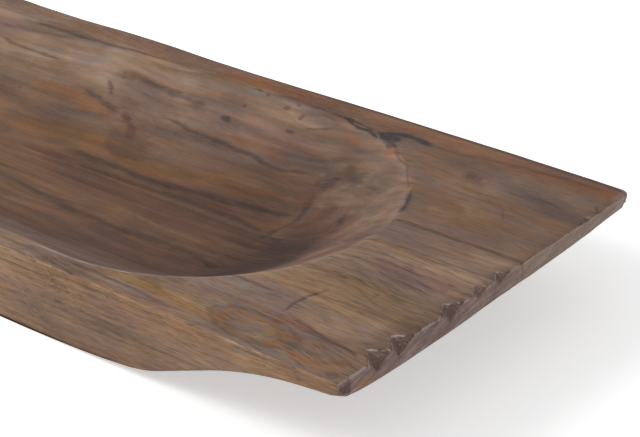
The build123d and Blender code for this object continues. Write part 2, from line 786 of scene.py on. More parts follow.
class BoardTree:
    """The Geometry Nodes tree that carves one board out of the block."""

    INPUTS = (("Low side", "low_y"), ("High side", "high_y"), ("Recess", "recess"))
    FINER_BELOW = 1.8  # how much closer the rows of a leaning side lie at its foot

    def __init__(self, name: str, shape: BoardShape, block: Block, cracks: Sequence[Streak],
                 material: bpy.types.Material) -> None:
        """Build the tree.

        Args:
            name: The tree's name.
            shape: The board's limits and edges.
            block: The block that it is cut from.
            cracks: Streaks that are open grooves in this board.
            material: The board's finish.
        """
        self.shape = shape
        self.carving = block.carving
        self.wear = block.wear
        self.mesh = block.mesh
        self.cracks = cracks
        self.tree = bpy.data.node_groups.new(name, "GeometryNodeTree")
        self.tree.interface.new_socket("Geometry", in_out="OUTPUT", socket_type="NodeSocketGeometry")
        self.identifiers = {}
        for label, field_name in self.INPUTS:
            socket = self.tree.interface.new_socket(label, in_out="INPUT",
                                                    socket_type="NodeSocketFloat")
            self.identifiers[socket.identifier] = getattr(shape, field_name)
        self.graph = Graph(self.tree)
        self.surface = Surface(self.graph, block)
        source = self.graph.add("NodeGroupInput")
        self.low = self.graph.term(source, 0)
        self.high = self.graph.term(source, 1)
        self.recess = self.graph.term(source, 2)
        self._build(material)

    def _steps(self, value: Term, start: Number, bands: Sequence[Band]) -> Term:
        """Turn a count of cells into a place, band by band.

        Args:
            value: The count.
            start: The place at count 0.
            bands: The runs of cells, in order.

        Returns:
            The place.
        """
        place: Number = start
        count, before = 0, start
        for band in bands:
            share = value.ramped(count, count + band.cells)
            place = share * (band.end - before) + place
            count, before = count + band.cells, band.end
        return place

    def _grooved(self, height: Term, x: Term, y: Term) -> Term:
        """Cut the open cracks into the surface.

        Args:
            height: The height of the surface.
            x: Place along the bowl.
            y: Place across it.

        Returns:
            The height with the grooves in.
        """
        if self.cracks:
            marks = Marks(self.graph, x, y)
            for crack in self.cracks:
                height = height - marks.streak(crack, crack.depth)
        return height

    def _column_bands(self, high: Term) -> list[Band]:
        """Give the bands of columns across the board, the last of which ends at its high limit."""
        return [*self.shape.columns[:-1], Band(high, self.shape.columns[-1].cells)]

    def _build(self, material: bpy.types.Material) -> None:
        """Make every node of the tree.

        Args:
            material: The board's finish.
        """
        graph, surface, shape, mesh, size = (self.graph, self.surface, self.shape, self.mesh,
                                             self.carving)
        columns = sum(band.cells for band in shape.columns)
        rows = {Wall.OUTER: mesh.outer_rows, Wall.SEAM: mesh.seam_rows}
        low_rows, high_rows = rows[shape.low_wall], rows[shape.high_wall]
        ring = 2 * columns + low_rows + high_rows
        length = sum(band.cells for band in STATIONS)
        caps = mesh.cap_rings

        index = graph.term(graph.add("GeometryNodeInputIndex"))
        station = (index / (ring + 1.0) + 0.0001).floor()
        place = index - station * (ring + 1.0)
        column = place.within(0.0, columns) - (place - (columns + high_rows)).within(0.0, columns)
        down = (place - columns).within(0.0, high_rows) / high_rows \
            - (place - (2 * columns + high_rows)).within(0.0, low_rows) / low_rows
        shrink = ((caps - station).within(0.0, caps)
                  + (station - (caps + length)).within(0.0, caps)) / caps
        x = self._steps((station - caps).within(0.0, length), -size.length / 2, STATIONS)
        x = x * (1.0 - self.recess * (2.0 / size.length))

        low_top, low_bottom = self._limits(shape.low_wall, self.low, shape.low_edge, x, -1.0)
        high_top, high_bottom = self._limits(shape.high_wall, self.high, shape.high_edge, x, 1.0)
        y_top = self._steps(column, low_top, self._column_bands(high_top))
        y_bottom = low_bottom + (y_top - low_top) * (high_bottom - low_bottom) / (high_top - low_top)

        bed = surface.chip_bed(x, y_top) + size.height
        deck = self._grooved(surface.top(x, y_top), x, y_top).most(bed)
        z_top = self._end_eased(deck, x) - self.recess
        z_bottom = surface.bottom(x, y_bottom) + self.recess
        z_top = z_top.least(z_bottom + self.wear.thinnest)

        z_low, y_low = self._wall(shape.low_wall, self.low, shape.low_edge, low_rows, -1.0,
                                  x, down, z_top, z_bottom)
        z_high, y_high = self._wall(shape.high_wall, self.high, shape.high_edge, high_rows, 1.0,
                                    x, down, z_top, z_bottom)
        on_high = column / columns
        on_top = 1.0 - down.over(0.5 / max(low_rows, high_rows))
        on_bottom = down.over(1.0 - 0.5 / max(low_rows, high_rows))
        on_wall = 1.0 - on_top - on_bottom
        y = on_top * y_top + on_bottom * y_bottom + on_wall * (y_low + (y_high - y_low) * on_high)
        z = on_top * z_top + on_bottom * z_bottom + on_wall * (z_low + (z_high - z_low) * on_high)
        y = y + ((y_top + y_bottom) * 0.5 - y) * shrink
        z = z + ((z_top + z_bottom) * 0.5 - z) * shrink
        x = x - self._end_wear(x, y, z)
        grid = graph.add("GeometryNodeMeshGrid", None, {
            "Vertices X": length + 2 * caps + 1, "Vertices Y": ring + 1})
        self._join(grid, graph.point(x * MM, y * MM, z * MM), material)

    def _join(self, grid: bpy.types.Node, spot: bpy.types.NodeSocket,
              material: bpy.types.Material) -> None:
        """Close the grid around the board and finish the tree.

        Args:
            grid: The node that makes a flat grid, with a line of points for each station.
            spot: Where each of its points goes.
            material: The board's finish.
        """
        graph = self.graph
        placed = graph.add("GeometryNodeSetPosition", None,
                           {"Geometry": grid.outputs[0], "Position": spot})
        welded = graph.add("GeometryNodeMergeByDistance", None,
                           {"Geometry": placed.outputs[0], "Distance": self.mesh.weld * MM})
        smooth = graph.add("GeometryNodeSetShadeSmooth", {"domain": "FACE"},
                           {"Geometry": welded.outputs[0]})
        angle = graph.term(graph.add("GeometryNodeInputMeshEdgeAngle"))
        sharp = graph.add("GeometryNodeSetShadeSmooth", {"domain": "EDGE"}, {
            "Geometry": smooth.outputs[0], "Selection": angle.over(self.mesh.sharp_angle),
            "Shade Smooth": False})
        real = graph.add("GeometryNodeRealizeInstances", None, {"Geometry": sharp.outputs[0]})
        dressed = graph.add("GeometryNodeSetMaterial", None, {
            "Geometry": real.outputs[0], "Material": material})
        graph.add("NodeGroupOutput", None, {0: dressed.outputs[0]})

    def _limits(self, wall: Wall, limit: Term, edge: float, x: Term,
                sign: float) -> tuple[Term, Term]:
        """Give how far a board reaches on the deck and on the underside.

        Args:
            wall: How its long wall is made.
            limit: Where a seam stands.
            edge: How far the wall's upper and lower edges are eased.
            x: Place along the bowl.
            sign: Which side it is on, -1 or 1.

        Returns:
            The y of its upper and of its lower edge.
        """
        size = self.carving
        if wall is Wall.SEAM:
            return limit - edge * sign, limit - edge * sign
        towards = self.graph.number(sign)
        arris_width = edge * math.tan((math.pi / 2 + size.side_lean) / 2)
        upper = self.surface.side(self.graph.number(size.height), x, towards) - arris_width
        lower = self.surface.side(self.surface.under(x) + self.wear.lower_edge, x, towards)
        return upper * sign, lower * sign

    def _wall(self, wall: Wall, limit: Term, edge: float, rows: int, sign: float, x: Term,
              down: Term, z_top: Term, z_bottom: Term) -> tuple[Term, Term]:
        """Give the points down one long wall.

        Args:
            wall: How it is made.
            limit: Where a seam stands.
            edge: How far its edges are eased.
            rows: Its number of cells.
            sign: Which side it is on, -1 or 1.
            x: Place along the bowl.
            down: From 0 at its upper edge to 1 at its lower edge.
            z_top: Height of the upper edge.
            z_bottom: Height of the lower edge.

        Returns:
            The height and the y of each point.
        """
        size = self.carving
        count = down * rows
        if wall is Wall.SEAM:
            first = count.most(1.0)
            last = (count - (rows - 1)).least(0.0)
            between = (count - 1.0).within(0.0, rows - 2) / (rows - 2)
            fall = (z_top - z_bottom - 2 * edge) * between + (first + last) * edge
            inset = (1.0 - first + last) * edge
            return z_top - fall, limit - inset * sign
        turn = math.pi / 2 + size.side_lean
        swing = (count / self.mesh.arris_rows).most(1.0) * turn
        drop = (1.0 - swing.cosine()) * edge
        full_drop = edge * (1.0 - math.cos(turn))
        rest = ((count - self.mesh.arris_rows) / (rows - self.mesh.arris_rows)).least(0.0)
        spread = 1.0 - (1.0 - rest) ** self.FINER_BELOW
        z = z_top - drop - (z_top - full_drop - z_bottom) * spread
        towards = self.graph.number(sign)
        z_centre = z_top - edge
        centre = self.surface.side(z_centre, x, towards) - edge / math.cos(size.side_lean)
        on_arc = 1.0 - count.over(self.mesh.arris_rows)
        arc = centre + swing.sine() * edge
        flat = self.surface.side(z, x, towards)
        return z, (flat + (arc - flat) * on_arc) * sign

    def _end_eased(self, height: Term, x: Term) -> Term:
        """Round the upper edge of each end.

        Args:
            height: The height of the deck.
            x: Place along the bowl.

        Returns:
            The height with its ends worn round.
        """
        radius = self.wear.end_arris
        turn = radius - (self.carving.length / 2 - abs(x)).within(0.0, radius)
        return height - (radius - (radius * radius - turn * turn).root())

    def _end_wear(self, x: Term, y: Term, z: Term) -> Term:
        """Give how far wear has set each end's face back, less 0 at the other places.

        Args:
            x: Place along the bowl.
            y: Place across it.
            z: Height.

        Returns:
            The signed distance towards the middle.
        """
        near = abs(x).eased(self.carving.length / 2 - 3.0, self.carving.length / 2)
        ridge = self.graph.noise(self.graph.point(x / 500.0, y / 24.0 + z / 11.0, z / 3.0))
        calm = self.wear.end_setback - y.eased(130.0, 160.0)
        return near * self.graph.maths("SIGN", x) * ridge * calm


class Marks:
    """Tells where marks are, on a slightly warped plan of the bowl that they all share."""

    RAGGED = 1.3  # how far a streak's edges wander, by its width
    REACH = 2.0  # how far from its line a streak fades out, by its width

    def __init__(self, graph: Graph, x: Term, y: Term) -> None:
        """Warp the plan.

        Args:
            graph: The builder of the tree.
            x: Place along the bowl.
            y: Place across it.
        """
        self.graph = graph
        self.rag = graph.noise(graph.point(x / 11.0, y / 3.0, 0.0), 3.0, 0.6) - 0.5
        drift = graph.wave(x, y, 19.0, 15.0, 5.0)
        self.x = x + drift * 6.0 + self.rag * 2.0
        self.y = y + drift * 2.4 + self.rag
        self.spot = graph.point(self.x, self.y, 1.0)
        self.patchy = graph.noise(graph.point(x / 17.0, y / 7.0, 9.0)).ramped(0.34, 0.58, 0.45, 1.0)

    def follow(self, tone: Term) -> None:
        """Let the marks' edges run with the grain.

        Args:
            tone: How light the wood is, about 1 on average.
        """
        lean = tone - 1.0
        self.x = self.x + lean
        self.y = self.y + lean * 0.5
        self.spot = self.graph.point(self.x, self.y, 1.0)

    def streak(self, streak: Streak, strength: float) -> Term:
        """Give where a streak is.

        Args:
            streak: The streak.
            strength: What the result reaches on its line.

        Returns:
            The share, down to 0 beside it and past its ends.
        """
        run, side = (self.y, self.x) if streak.across else (self.x, self.y)
        start, end = streak.knots[0][0], streak.knots[-1][0]
        aside = abs(side - self.graph.along(run, streak.knots))
        aside = self.graph.maths("MULTIPLY_ADD", self.rag, self.RAGGED * streak.width, aside)
        fade = (end - start) * streak.fade
        share = aside.ramped(self.REACH * streak.width, 0.0)
        share = share * share * self.patchy * strength
        return share * run.eased(start, start + fade) * run.eased(end, end - fade)

    def stain(self, stain: Stain) -> Term:
        """Give where a stain is.

        Args:
            stain: The stain.

        Returns:
            Its strength in its middle, down to 0 around it.
        """
        turn = math.radians(stain.turn)
        cosine, sine = math.cos(turn), math.sin(turn)
        run = self._slant(cosine, sine, stain, stain.half_length)
        rise = self._slant(-sine, cosine, stain, stain.half_width)
        far = self.graph.maths("SQRT", self.graph.maths("MULTIPLY_ADD", rise, rise, run * run))
        far = self.graph.maths("MULTIPLY_ADD", self.rag, stain.ragged, far)
        if stain.outline:
            return abs(far - 1.0).eased(stain.soft, 0.0, stain.strength)
        return far.eased(1.0 + stain.soft * 0.5, 1.0 - stain.soft * 0.5, stain.strength)

    def _slant(self, along: float, aside: float, stain: Stain, reach: float) -> Term:
        """Measure from a stain's centre in one direction, by its reach in that direction."""
        offset = -(along * stain.x + aside * stain.y)
        weights = (along / reach, aside / reach, offset / reach)
        return self.graph.term(self.graph.add(
            "ShaderNodeVectorMath", {"operation": "DOT_PRODUCT"}, {0: self.spot, 1: weights}),
            "Value")


# Finishes

@dataclass(frozen=True)
class Palette:
    """The colours of the wood, before its marks."""

    warm: Colour = srgb(140, 108, 82)
    grey: Colour = srgb(121, 100, 87)
    pale: Colour = srgb(153, 128, 106)
    mauve: Colour = srgb(115, 90, 81)
    bare: Colour = srgb(186, 172, 166)
    end: Colour = srgb(156, 131, 129)
    end_far: Colour = srgb(176, 153, 138)
    broken: Colour = srgb(114, 90, 84)


@dataclass(frozen=True)
class Shades:
    """What each zone does to the wood's colour, by which it is multiplied: age and patina in some
    zones, painted shade and painted light in others, as noted at each.
    """

    # The floor's darker patina, with painted shade from the hollow's walls
    floor: Colour = (0.62, 0.485, 0.37)
    # Painted shade on the hollow's front wall, which faces away from the light
    front_wall_shade: Colour = (0.66, 0.60, 0.62)
    # Painted shade in the crease at the foot of the hollow's end
    end_foot_shade: Colour = (0.43, 0.37, 0.38)
    end_wall: Colour = (0.79, 0.745, 0.725)
    back_rim: Colour = (1.08, 0.88, 0.72)
    back_brink: Colour = (0.46, 0.44, 0.48)
    soft_lip: Colour = (1.0, 0.95, 0.96)
    front_arris_wear_and_highlight: Colour = (1.4, 1.4, 1.42)
    # Worn pale arris of the front side, with a painted highlight
    side: Colour = (1.10, 1.06, 0.99)
    # Painted light along the top of the front side
    upper_side_light: Colour = (1.16, 1.12, 0.98)
    middle_side_light: Colour = (1.32, 1.28, 1.26)
    side_threads: Colour = (0.62, 0.56, 0.52)
    # Painted shade towards the foot of the front side
    lower_side_shade: Colour = (0.84, 0.84, 0.86)
    back_deck: Colour = (0.76, 0.69, 0.64)
    corner_block: Colour = (0.50, 0.40, 0.42)
    yellow_patch: Colour = (1.12, 0.96, 0.70)
    # Painted shade on the deck just inside each end
    end_deck_shade: Colour = (0.70, 0.62, 0.64)


@dataclass(frozen=True)
class Zones:
    """Where each zone starts and where it reaches its full strength, in millimetres.

    A fall or a depth is measured down from the deck, a width or a reach from the middle of the
    zone, and the others are places in the frame.
    """

    inside_fall: Range = (-0.4, 0.5)
    floor_depth: Range = (14.0, 46.0)
    front_wall_y: Range = (-20.0, -70.0)
    front_wall_depth: Range = (0.8, 4.0)
    end_foot_x: Range = (205.0, 250.0)
    end_foot_y: Range = (52.0, 20.0)
    end_foot_depth: Range = (22.0, 40.0)
    end_wall_x: Range = (100.0, 220.0)
    end_wall_depth: Range = (0.5, 6.0)
    back_rim_y: Range = (141.0, 149.0)
    back_rim_x: Range = (-160.0, 120.0)
    back_brink_x: Range = (-120.0, 300.0)
    back_brink_width: Range = (2.6, 0.0)
    crisp_lip_y: Range = (-30.0, -60.0)
    crisp_lip_x: Range = (300.0, 240.0)
    soft_lip_fall: Range = (4.5, 1.5)
    soft_lip_x: Range = (225.0, 265.0)
    upper_side_z: Range = (52.0, 62.0)
    middle_side_x: Range = (180.0, 20.0)
    lower_side_z: Range = (34.0, 10.0)
    back_deck_y: Range = (10.0, 50.0)
    back_deck_x: Range = (-100.0, 260.0)
    splinters_y: Range = (-20.0, 60.0)
    end_far_y: Range = (-15.0, 50.0)
    corner_block_y: Range = (-153.0, -157.0)
    yellow_patch_y: float = -139.0
    yellow_patch_reach: Range = (13.0, 8.0)
    yellow_patch_z: Range = (70.0, 67.0)
    chips_x: Range = (425.0, 431.0)
    brink_y: Range = (-60.0, 40.0)
    front_corner_x: Range = (442.6, 444.0)
    front_corner_y: Range = (165.0, 167.0)
    back_corner_x: Range = (437.0, 442.5)
    back_corner_y: Range = (143.0, 152.0)


class Fibres(Enum):
    """Noises drawn out along the grain: length, width, what tells them apart, and finer layers."""

    BROAD = (70.0, 6.5, 2.0, 2.0)
    MIDDLE = (38.0, 2.3, 5.0, 2.0)
    FINE = (16.0, 0.9, 9.0, 2.0)
    BANDS = (120.0, 8.0, 51.0, 1.0)
    FLECKS = (12.0, 1.0, 14.0, 1.0)
    GLEAMS = (15.0, 1.0, 23.0, 1.0)
    LIP = (26.0, 14.0, 31.0, 2.0)
    ARRIS = (18.0, 18.0, 37.0, 2.0)
    SIDE = (60.0, 30.0, 47.0, 2.0)
    BRINK = (7.0, 6.0, 43.0, 2.0)


@dataclass(frozen=True)
class WoodFinish:
    """Old oiled wood of one board."""

    name: str
    grain: Grain
    streaks: tuple[Streak, ...] = ()
    stains: tuple[Stain, ...] = ()
    palette: Palette = Palette()
    shades: Shades = Shades()
    zones: Zones = Zones()
    tone: float = 1.0
    roughness: float = 0.60
    specular: float = 0.28
    relief: float = 0.0012
    relief_strength: float = 0.8

    @property
    def cracks(self) -> list[Streak]:
        """Give the streaks that are open grooves in the board."""
        return [streak for streak in self.streaks if streak.depth]


class FinishTree:
    """A new material's shader tree, with the place on the bowl in millimetres."""

    def __init__(self, name: str) -> None:
        """Make the material.

        Args:
            name: Its name.
        """
        self.material = bpy.data.materials.new(name)
        self.material.use_nodes = True
        self.graph = Graph(self.material.node_tree)
        self.shader = self.material.node_tree.nodes["Principled BSDF"]
        self.texture = self.graph.add("ShaderNodeTexCoord")
        place = self.graph.add("ShaderNodeVectorMath", {"operation": "SCALE"},
                               {0: self.texture.outputs["Object"], "Scale": 1.0 / MM})
        self.x, self.y, self.z = self.graph.parts(place.outputs[0])


class WoodTree(FinishTree):
    """The shader tree of one board, with its zones, its grain and its marks."""

    STREAK_STRENGTH = 1.8  # makes up for the patches and ragged edges that thin a streak out

    def __init__(self, finish: WoodFinish, block: Block) -> None:
        """Build the tree.

        Args:
            finish: The board's finish.
            block: The carved block, whose places tell the zones apart.
        """
        super().__init__(finish.name)
        self.finish = finish
        self.surface = Surface(self.graph, block)
        normal_x, self.normal_y, normal_z = self.graph.parts(self.texture.outputs["Normal"])
        self.upward = normal_z.eased(0.35, 0.7)
        self.upward_any = normal_z.eased(0.0, 0.15)
        self.endward = abs(normal_x).eased(0.7, 0.9)
        self.frontward = (-self.normal_y).eased(0.6, 0.85)
        self.marks = Marks(self.graph, self.x, self.y)
        self.rag = self.marks.rag
        self._zones()
        tone, height = self._grain()
        self.marks.follow(tone)
        colour = self._ground(tone)
        colour = self._marks(colour)
        colour = self._hollow(colour)
        colour = self._rims(colour)
        colour = self._ends(colour)
        colour = self._side(colour)
        self._shade(colour, height)

    def _zones(self) -> None:
        """Work out where the hollow, its lip and its floor are."""
        size = self.surface.carving
        self.fall = self.surface.hollow(self.x, self.y)
        self.inside = self.fall.eased(*self.finish.zones.inside_fall) * self.upward
        self.depth = (size.height - self.z) * self.inside
        self.deck = self.upward * (1.0 - self.inside)

    def _fibres(self, fibres: Fibres) -> Term:
        """Give a noise drawn out along the grain.

        Args:
            fibres: Which one.

        Returns:
            The noise, about 0 on average.
        """
        length, width, part, detail = fibres.value
        seed = self.finish.grain.seed + part
        length = length * self.finish.grain.stretch
        return self.graph.noise(self.graph.point(
            self.x / length + seed, self.bent / width, self.z / width + seed), detail) - 0.5

    def _grain(self) -> tuple[Term, Term]:
        """Lay the growth rings and the fibres.

        Returns:
            How light the wood is, about 1 on average, and the height of its grain.
        """
        graph, grain = self.graph, self.finish.grain
        x, y, z = self.x, self.y, self.z
        sway = graph.noise(graph.point(x / 130.0, y / 70.0 + grain.seed, z / 70.0), 1.0) - 0.5
        self.bent = y + sway * grain.waver * 3.0
        aside = y - grain.pith_y + sway * grain.waver
        above = z - x * grain.dip - grain.pith_z
        far = (aside * aside + above * above).root()
        ripple = graph.noise(graph.point(x / 34.0, y / 9.0, z / 9.0 + grain.seed), 2.0) - 0.5
        rings = far / grain.spacing + (sway * grain.waver + ripple * grain.ripple) / grain.spacing
        for knot in grain.knots:
            along, side = (x - knot.x) / knot.half_length, (y - knot.y) / knot.half_width
            near = (1.0 - (along * along + side * side).root() * 0.5).least(0.0)
            rings = rings + near * near * knot.rings
        count = rings.floor()
        share = rings - count
        late = share.eased(0.25, 0.9) * share.eased(1.0, 0.93)
        year = graph.noise(graph.point(count * 3.7, x / 260.0, grain.seed), 0.0)
        self.late = late * (year * 1.6 - 0.1).within(0.0, 1.0)
        broad = self._fibres(Fibres.BROAD)
        middle = self._fibres(Fibres.MIDDLE)
        fine = self._fibres(Fibres.FINE)
        quiet = 1.0 - self.inside * 0.6
        tone = 1.0 - (self.late - 0.22) * grain.rings + (year - 0.5) * grain.rings * 0.5 \
            + broad * (grain.fibre * 0.75) + (middle * 1.3 + fine * 1.7) * grain.fibre * quiet
        bands = self._fibres(Fibres.BANDS)
        shadow = graph.noise(graph.point(x / 85.0, y / 38.0 + grain.seed, z / 30.0), 1.0) - 0.5
        tone = tone + bands * (self.inside * 0.9 + 0.3) + shadow * 0.95
        fleck = self._fibres(Fibres.FLECKS).eased(0.08, 0.20) * grain.flecks * quiet
        gleam = self._fibres(Fibres.GLEAMS).eased(0.10, 0.24) * grain.flecks * 0.7 * quiet
        tone = tone - fleck + gleam + self.rag * (grain.flecks * 0.9)
        height = fine * 0.5 + middle * 0.5 - self.late * 0.25 - fleck * 0.8
        return tone, height

    def _ground(self, tone: Term) -> bpy.types.NodeSocket:
        """Give the colour of the wood before its marks.

        Args:
            tone: How light it is.

        Returns:
            The colour.
        """
        graph, palette, seed = self.graph, self.finish.palette, self.finish.grain.seed
        x, y, z = self.x, self.y, self.z
        length = 75.0 * self.finish.grain.stretch
        hue = graph.noise(graph.point(x / length + seed, self.bent / 17.0, z / 22.0), 2.0, 0.55)
        thread = graph.noise(graph.point(x / length, self.bent / 3.2, z / 3.2 + seed), 1.0)
        warmth = (hue * 0.65 + thread * 0.35 + self.late * 0.24).eased(0.38, 0.70)
        cloud = graph.noise(graph.point(x / 48.0, y / 30.0 + seed, z / 26.0), 2.0)
        colour = graph.mix(warmth, palette.grey, palette.warm)
        colour = graph.mix(cloud.eased(0.50, 0.72) * 0.55, colour, palette.pale)
        colour = graph.mix(cloud.eased(0.50, 0.30) * 0.6, colour, palette.mauve)
        return graph.scaled(colour, tone * self.finish.tone)

    def _marks(self, colour: Paint) -> Paint:
        """Lay the marks, which are on the deck and in the hollow only.

        Args:
            colour: The colour so far.

        Returns:
            The colour with its marks.
        """
        finish = self.finish
        for tint in Tint:
            share: Optional[Term] = None
            for mark in (*finish.stains, *finish.streaks):
                if mark.tint is not tint:
                    continue
                place = self.marks.stain(mark) if isinstance(mark, Stain) \
                    else self.marks.streak(mark, mark.strength * self.STREAK_STRENGTH)
                share = place if share is None else place.least(share)
            if share is not None:
                colour = self.graph.tinted(share * self.upward, colour, tint.value)
        return colour

    def _hollow(self, colour: Paint) -> Paint:
        """Darken the floor of the hollow for its patina and with painted shade, its front wall and
        the foot of its end with painted shade, and the wall of its end.

        Args:
            colour: The colour so far.

        Returns:
            The colour with the hollow.
        """
        tinted, zones, shades = self.graph.tinted, self.finish.zones, self.finish.shades
        x, y, depth = self.x, self.y, self.depth
        # The floor's darker patina, with painted shade from the hollow's walls
        colour = tinted(depth.eased(*zones.floor_depth), colour, shades.floor)
        # Painted shade on the hollow's front wall, which faces away from the light
        front_wall_shade = self.inside * y.eased(*zones.front_wall_y) \
            * depth.eased(*zones.front_wall_depth)
        colour = tinted(front_wall_shade, colour, shades.front_wall_shade)
        # Painted shade in the crease at the foot of the hollow's end
        foot = x.eased(*zones.end_foot_x) * y.eased(*zones.end_foot_y) \
            * depth.eased(*zones.end_foot_depth)
        colour = tinted(foot, colour, shades.end_foot_shade)
        end_wall = x.eased(*zones.end_wall_x) * depth.eased(*zones.end_wall_depth)
        return tinted(end_wall, colour, shades.end_wall)

    def _rims(self, colour: Paint) -> Paint:
        """Redden the back rim, darken its brink, and make the hollow's lip pale: worn, and along its
        crisp front a painted highlight as well.

        Args:
            colour: The colour so far.

        Returns:
            The colour with the rims.
        """
        graph, zones, shades = self.graph, self.finish.zones, self.finish.shades
        x, y, fall = self.x, self.y, self.fall
        back = y.eased(*zones.back_rim_y) * self.upward * x.ramped(*zones.back_rim_x, 0.3, 1.0)
        colour = graph.tinted(back, colour, shades.back_rim)
        deck = graph.number(self.surface.carving.height)
        margin = self.surface.side(deck, x, y) - y + self.rag * 2.0
        margin = margin - x.ramped(*zones.back_brink_x, 0.5, 4.0)
        brink = y.over(0.0) * (1.0 - self.endward) * margin.eased(*zones.back_brink_width)
        colour = graph.tinted(brink, colour, shades.back_brink)
        # Worn pale line along the crisp front lip, with a painted highlight
        line = abs(fall + 0.2).eased(0.7, 0.1)
        crisp = y.eased(*zones.crisp_lip_y) * x.eased(*zones.crisp_lip_x) * self.upward * line
        patchy = self._fibres(Fibres.LIP).eased(-0.12, 0.14)
        colour = graph.mix(crisp * patchy * 0.65, colour, self.finish.palette.bare)
        soft = abs(fall - 2.6).eased(*zones.soft_lip_fall) * x.eased(*zones.soft_lip_x) * self.upward
        return graph.tinted(soft * 0.5, colour, shades.soft_lip)

    def _side(self, colour: Paint) -> Paint:
        """Lighten the front side along its top, with wear and a painted highlight at its arris and
        painted light below it, thread it with dark lines and darken its foot with painted shade.

        The back of the deck is darkened last.

        Args:
            colour: The colour so far.

        Returns:
            The finished colour.
        """
        graph, zones, shades = self.graph, self.finish.zones, self.finish.shades
        x, y, z, front = self.x, self.y, self.z, self.frontward
        # Worn pale arris of the front side, with a painted highlight
        arris = abs(z - (self.surface.carving.height - 1.0)).eased(2.2, 0.4)
        arris = arris * front * self._fibres(Fibres.ARRIS).eased(-0.2, 0.1)
        colour = graph.tinted(arris * 0.8, colour, shades.front_arris_wear_and_highlight)
        colour = graph.tinted(front, colour, shades.side)
        # Painted light along the top of the front side, stronger on its left half
        upper = front * (z + self._fibres(Fibres.SIDE) * 16.0).eased(*zones.upper_side_z)
        colour = graph.tinted(upper, colour, shades.upper_side_light)
        middle = upper * x.eased(*zones.middle_side_x) * 0.8
        colour = graph.tinted(middle, colour, shades.middle_side_light)
        thread = graph.noise(graph.point(x / 70.0, 0.0, z / 1.1))
        colour = graph.tinted(upper * thread.eased(0.48, 0.36) * 0.8, colour, shades.side_threads)
        # Painted shade towards the foot of the front side
        colour = graph.tinted(front * z.eased(*zones.lower_side_z), colour, shades.lower_side_shade)
        behind = y.eased(*zones.back_deck_y) * x.ramped(*zones.back_deck_x, 0.3, 1.0) * self.deck
        return graph.tinted(behind, colour, shades.back_deck)

    def _ends(self, colour: Paint) -> Paint:
        """Show the splintered end faces, their pale upper edge and the chips, with painted light and
        shade on the chips' facets by the way they face, and painted shade on the deck by each end.

        Args:
            colour: The colour so far.

        Returns:
            The colour with its ends.
        """
        graph, size, palette = self.graph, self.surface.carving, self.finish.palette
        zones, shades = self.finish.zones, self.finish.shades
        x, y, z, end = self.x, self.y, self.z, self.endward
        slant = z - y * 0.16
        splinter = graph.noise(graph.point(x / 9.0, y / 21.0, slant / 1.7), 3.0, 0.6)
        tone = 1.0 + (splinter - 0.5) * y.ramped(*zones.splinters_y, 1.8, 0.9)
        bare_end = graph.mix(y.eased(*zones.end_far_y), palette.end, palette.end_far)
        colour = graph.mix(end * 0.62, colour, bare_end)
        block = end * y.eased(*zones.corner_block_y)
        colour = graph.tinted(block, colour, shades.corner_block)
        aside = abs(y - zones.yellow_patch_y + self.rag * 8.0)
        patch = end * aside.eased(*zones.yellow_patch_reach) * z.eased(*zones.yellow_patch_z)
        colour = graph.tinted(patch, colour, shades.yellow_patch)
        colour = graph.mix(end, colour, graph.scaled(colour, tone))
        colour = graph.mix(end * splinter.eased(0.56, 0.68) * 0.5, colour, palette.bare)
        bed = self.surface.chip_bed(x, y)
        near = abs(x).eased(*zones.chips_x) * self.upward_any
        broken = near * bed.eased(0.2, -0.8) * (1.0 - end)
        # Painted light and shade: the chips' facets take more or less of the broken colour by the
        # way they face
        facet_shading = self.normal_y.ramped(-0.3, 0.3, 0.9, 0.4)
        colour = graph.mix(broken * facet_shading, colour, palette.broken)
        tear = graph.noise(graph.point(x / 12.0, y / 1.3, z / 1.3))
        colour = graph.mix(broken * tear.eased(0.50, 0.64) * 0.22, colour, palette.bare)
        line = abs(bed + 0.1).eased(0.9, 0.2) * near
        brink = abs(x).eased(size.length / 2 - 1.8, size.length / 2 - 0.9) \
            * z.eased(size.height - 2.4, size.height - 1.4)
        brink = brink.least(line) * (self._fibres(Fibres.BRINK) + self.rag).eased(-0.10, 0.06)
        colour = graph.mix(brink * y.ramped(*zones.brink_y, 0.75, 0.4), colour, palette.bare)
        corner = x.eased(*zones.front_corner_x) * (-y).eased(*zones.front_corner_y)
        corner = corner.least(x.eased(*zones.back_corner_x) * y.eased(*zones.back_corner_y) * 0.7)
        colour = graph.mix(corner * 0.6, colour, palette.bare)
        # Painted shade on the deck just inside each end
        end_shade = abs(x).eased(size.length / 2 - 9.0, size.length / 2 - 3.0) * self.deck
        return graph.tinted(end_shade * (1.0 - brink) * 0.5, colour, shades.end_deck_shade)

    def _shade(self, colour: Paint, height: Term) -> None:
        """Join the colour, the sheen and the height to the shader.

        Args:
            colour: The finished colour.
            height: The height of the grain.
        """
        graph, finish = self.graph, self.finish
        tool = graph.noise(graph.point(self.x / 13.0, self.y / 9.0, self.z / 9.0)) - 0.5
        relief = height + tool * 0.7 + self.endward * self.rag * 1.6
        bump = graph.add("ShaderNodeBump", None, {
            "Strength": finish.relief_strength, "Distance": finish.relief, "Height": relief})
        rough = finish.roughness + self.rag * 0.16 + self.late * 0.06 - self.inside * 0.05
        graph.feed(self.shader.inputs["Base Color"], colour)
        graph.feed(self.shader.inputs["Roughness"], rough.within(0.4, 0.85))
        graph.feed(self.shader.inputs["Normal"], bump.outputs[0])
        graph.feed(self.shader.inputs["Specular IOR Level"], finish.specular)


@dataclass(frozen=True)
class GlueFinish:
    """Dark old glue with dirt in it."""

    name: str
    dark: Colour = srgb(44, 33, 28)
    light: Colour = srgb(78, 62, 52)
    cracks: tuple[Streak, ...] = ()


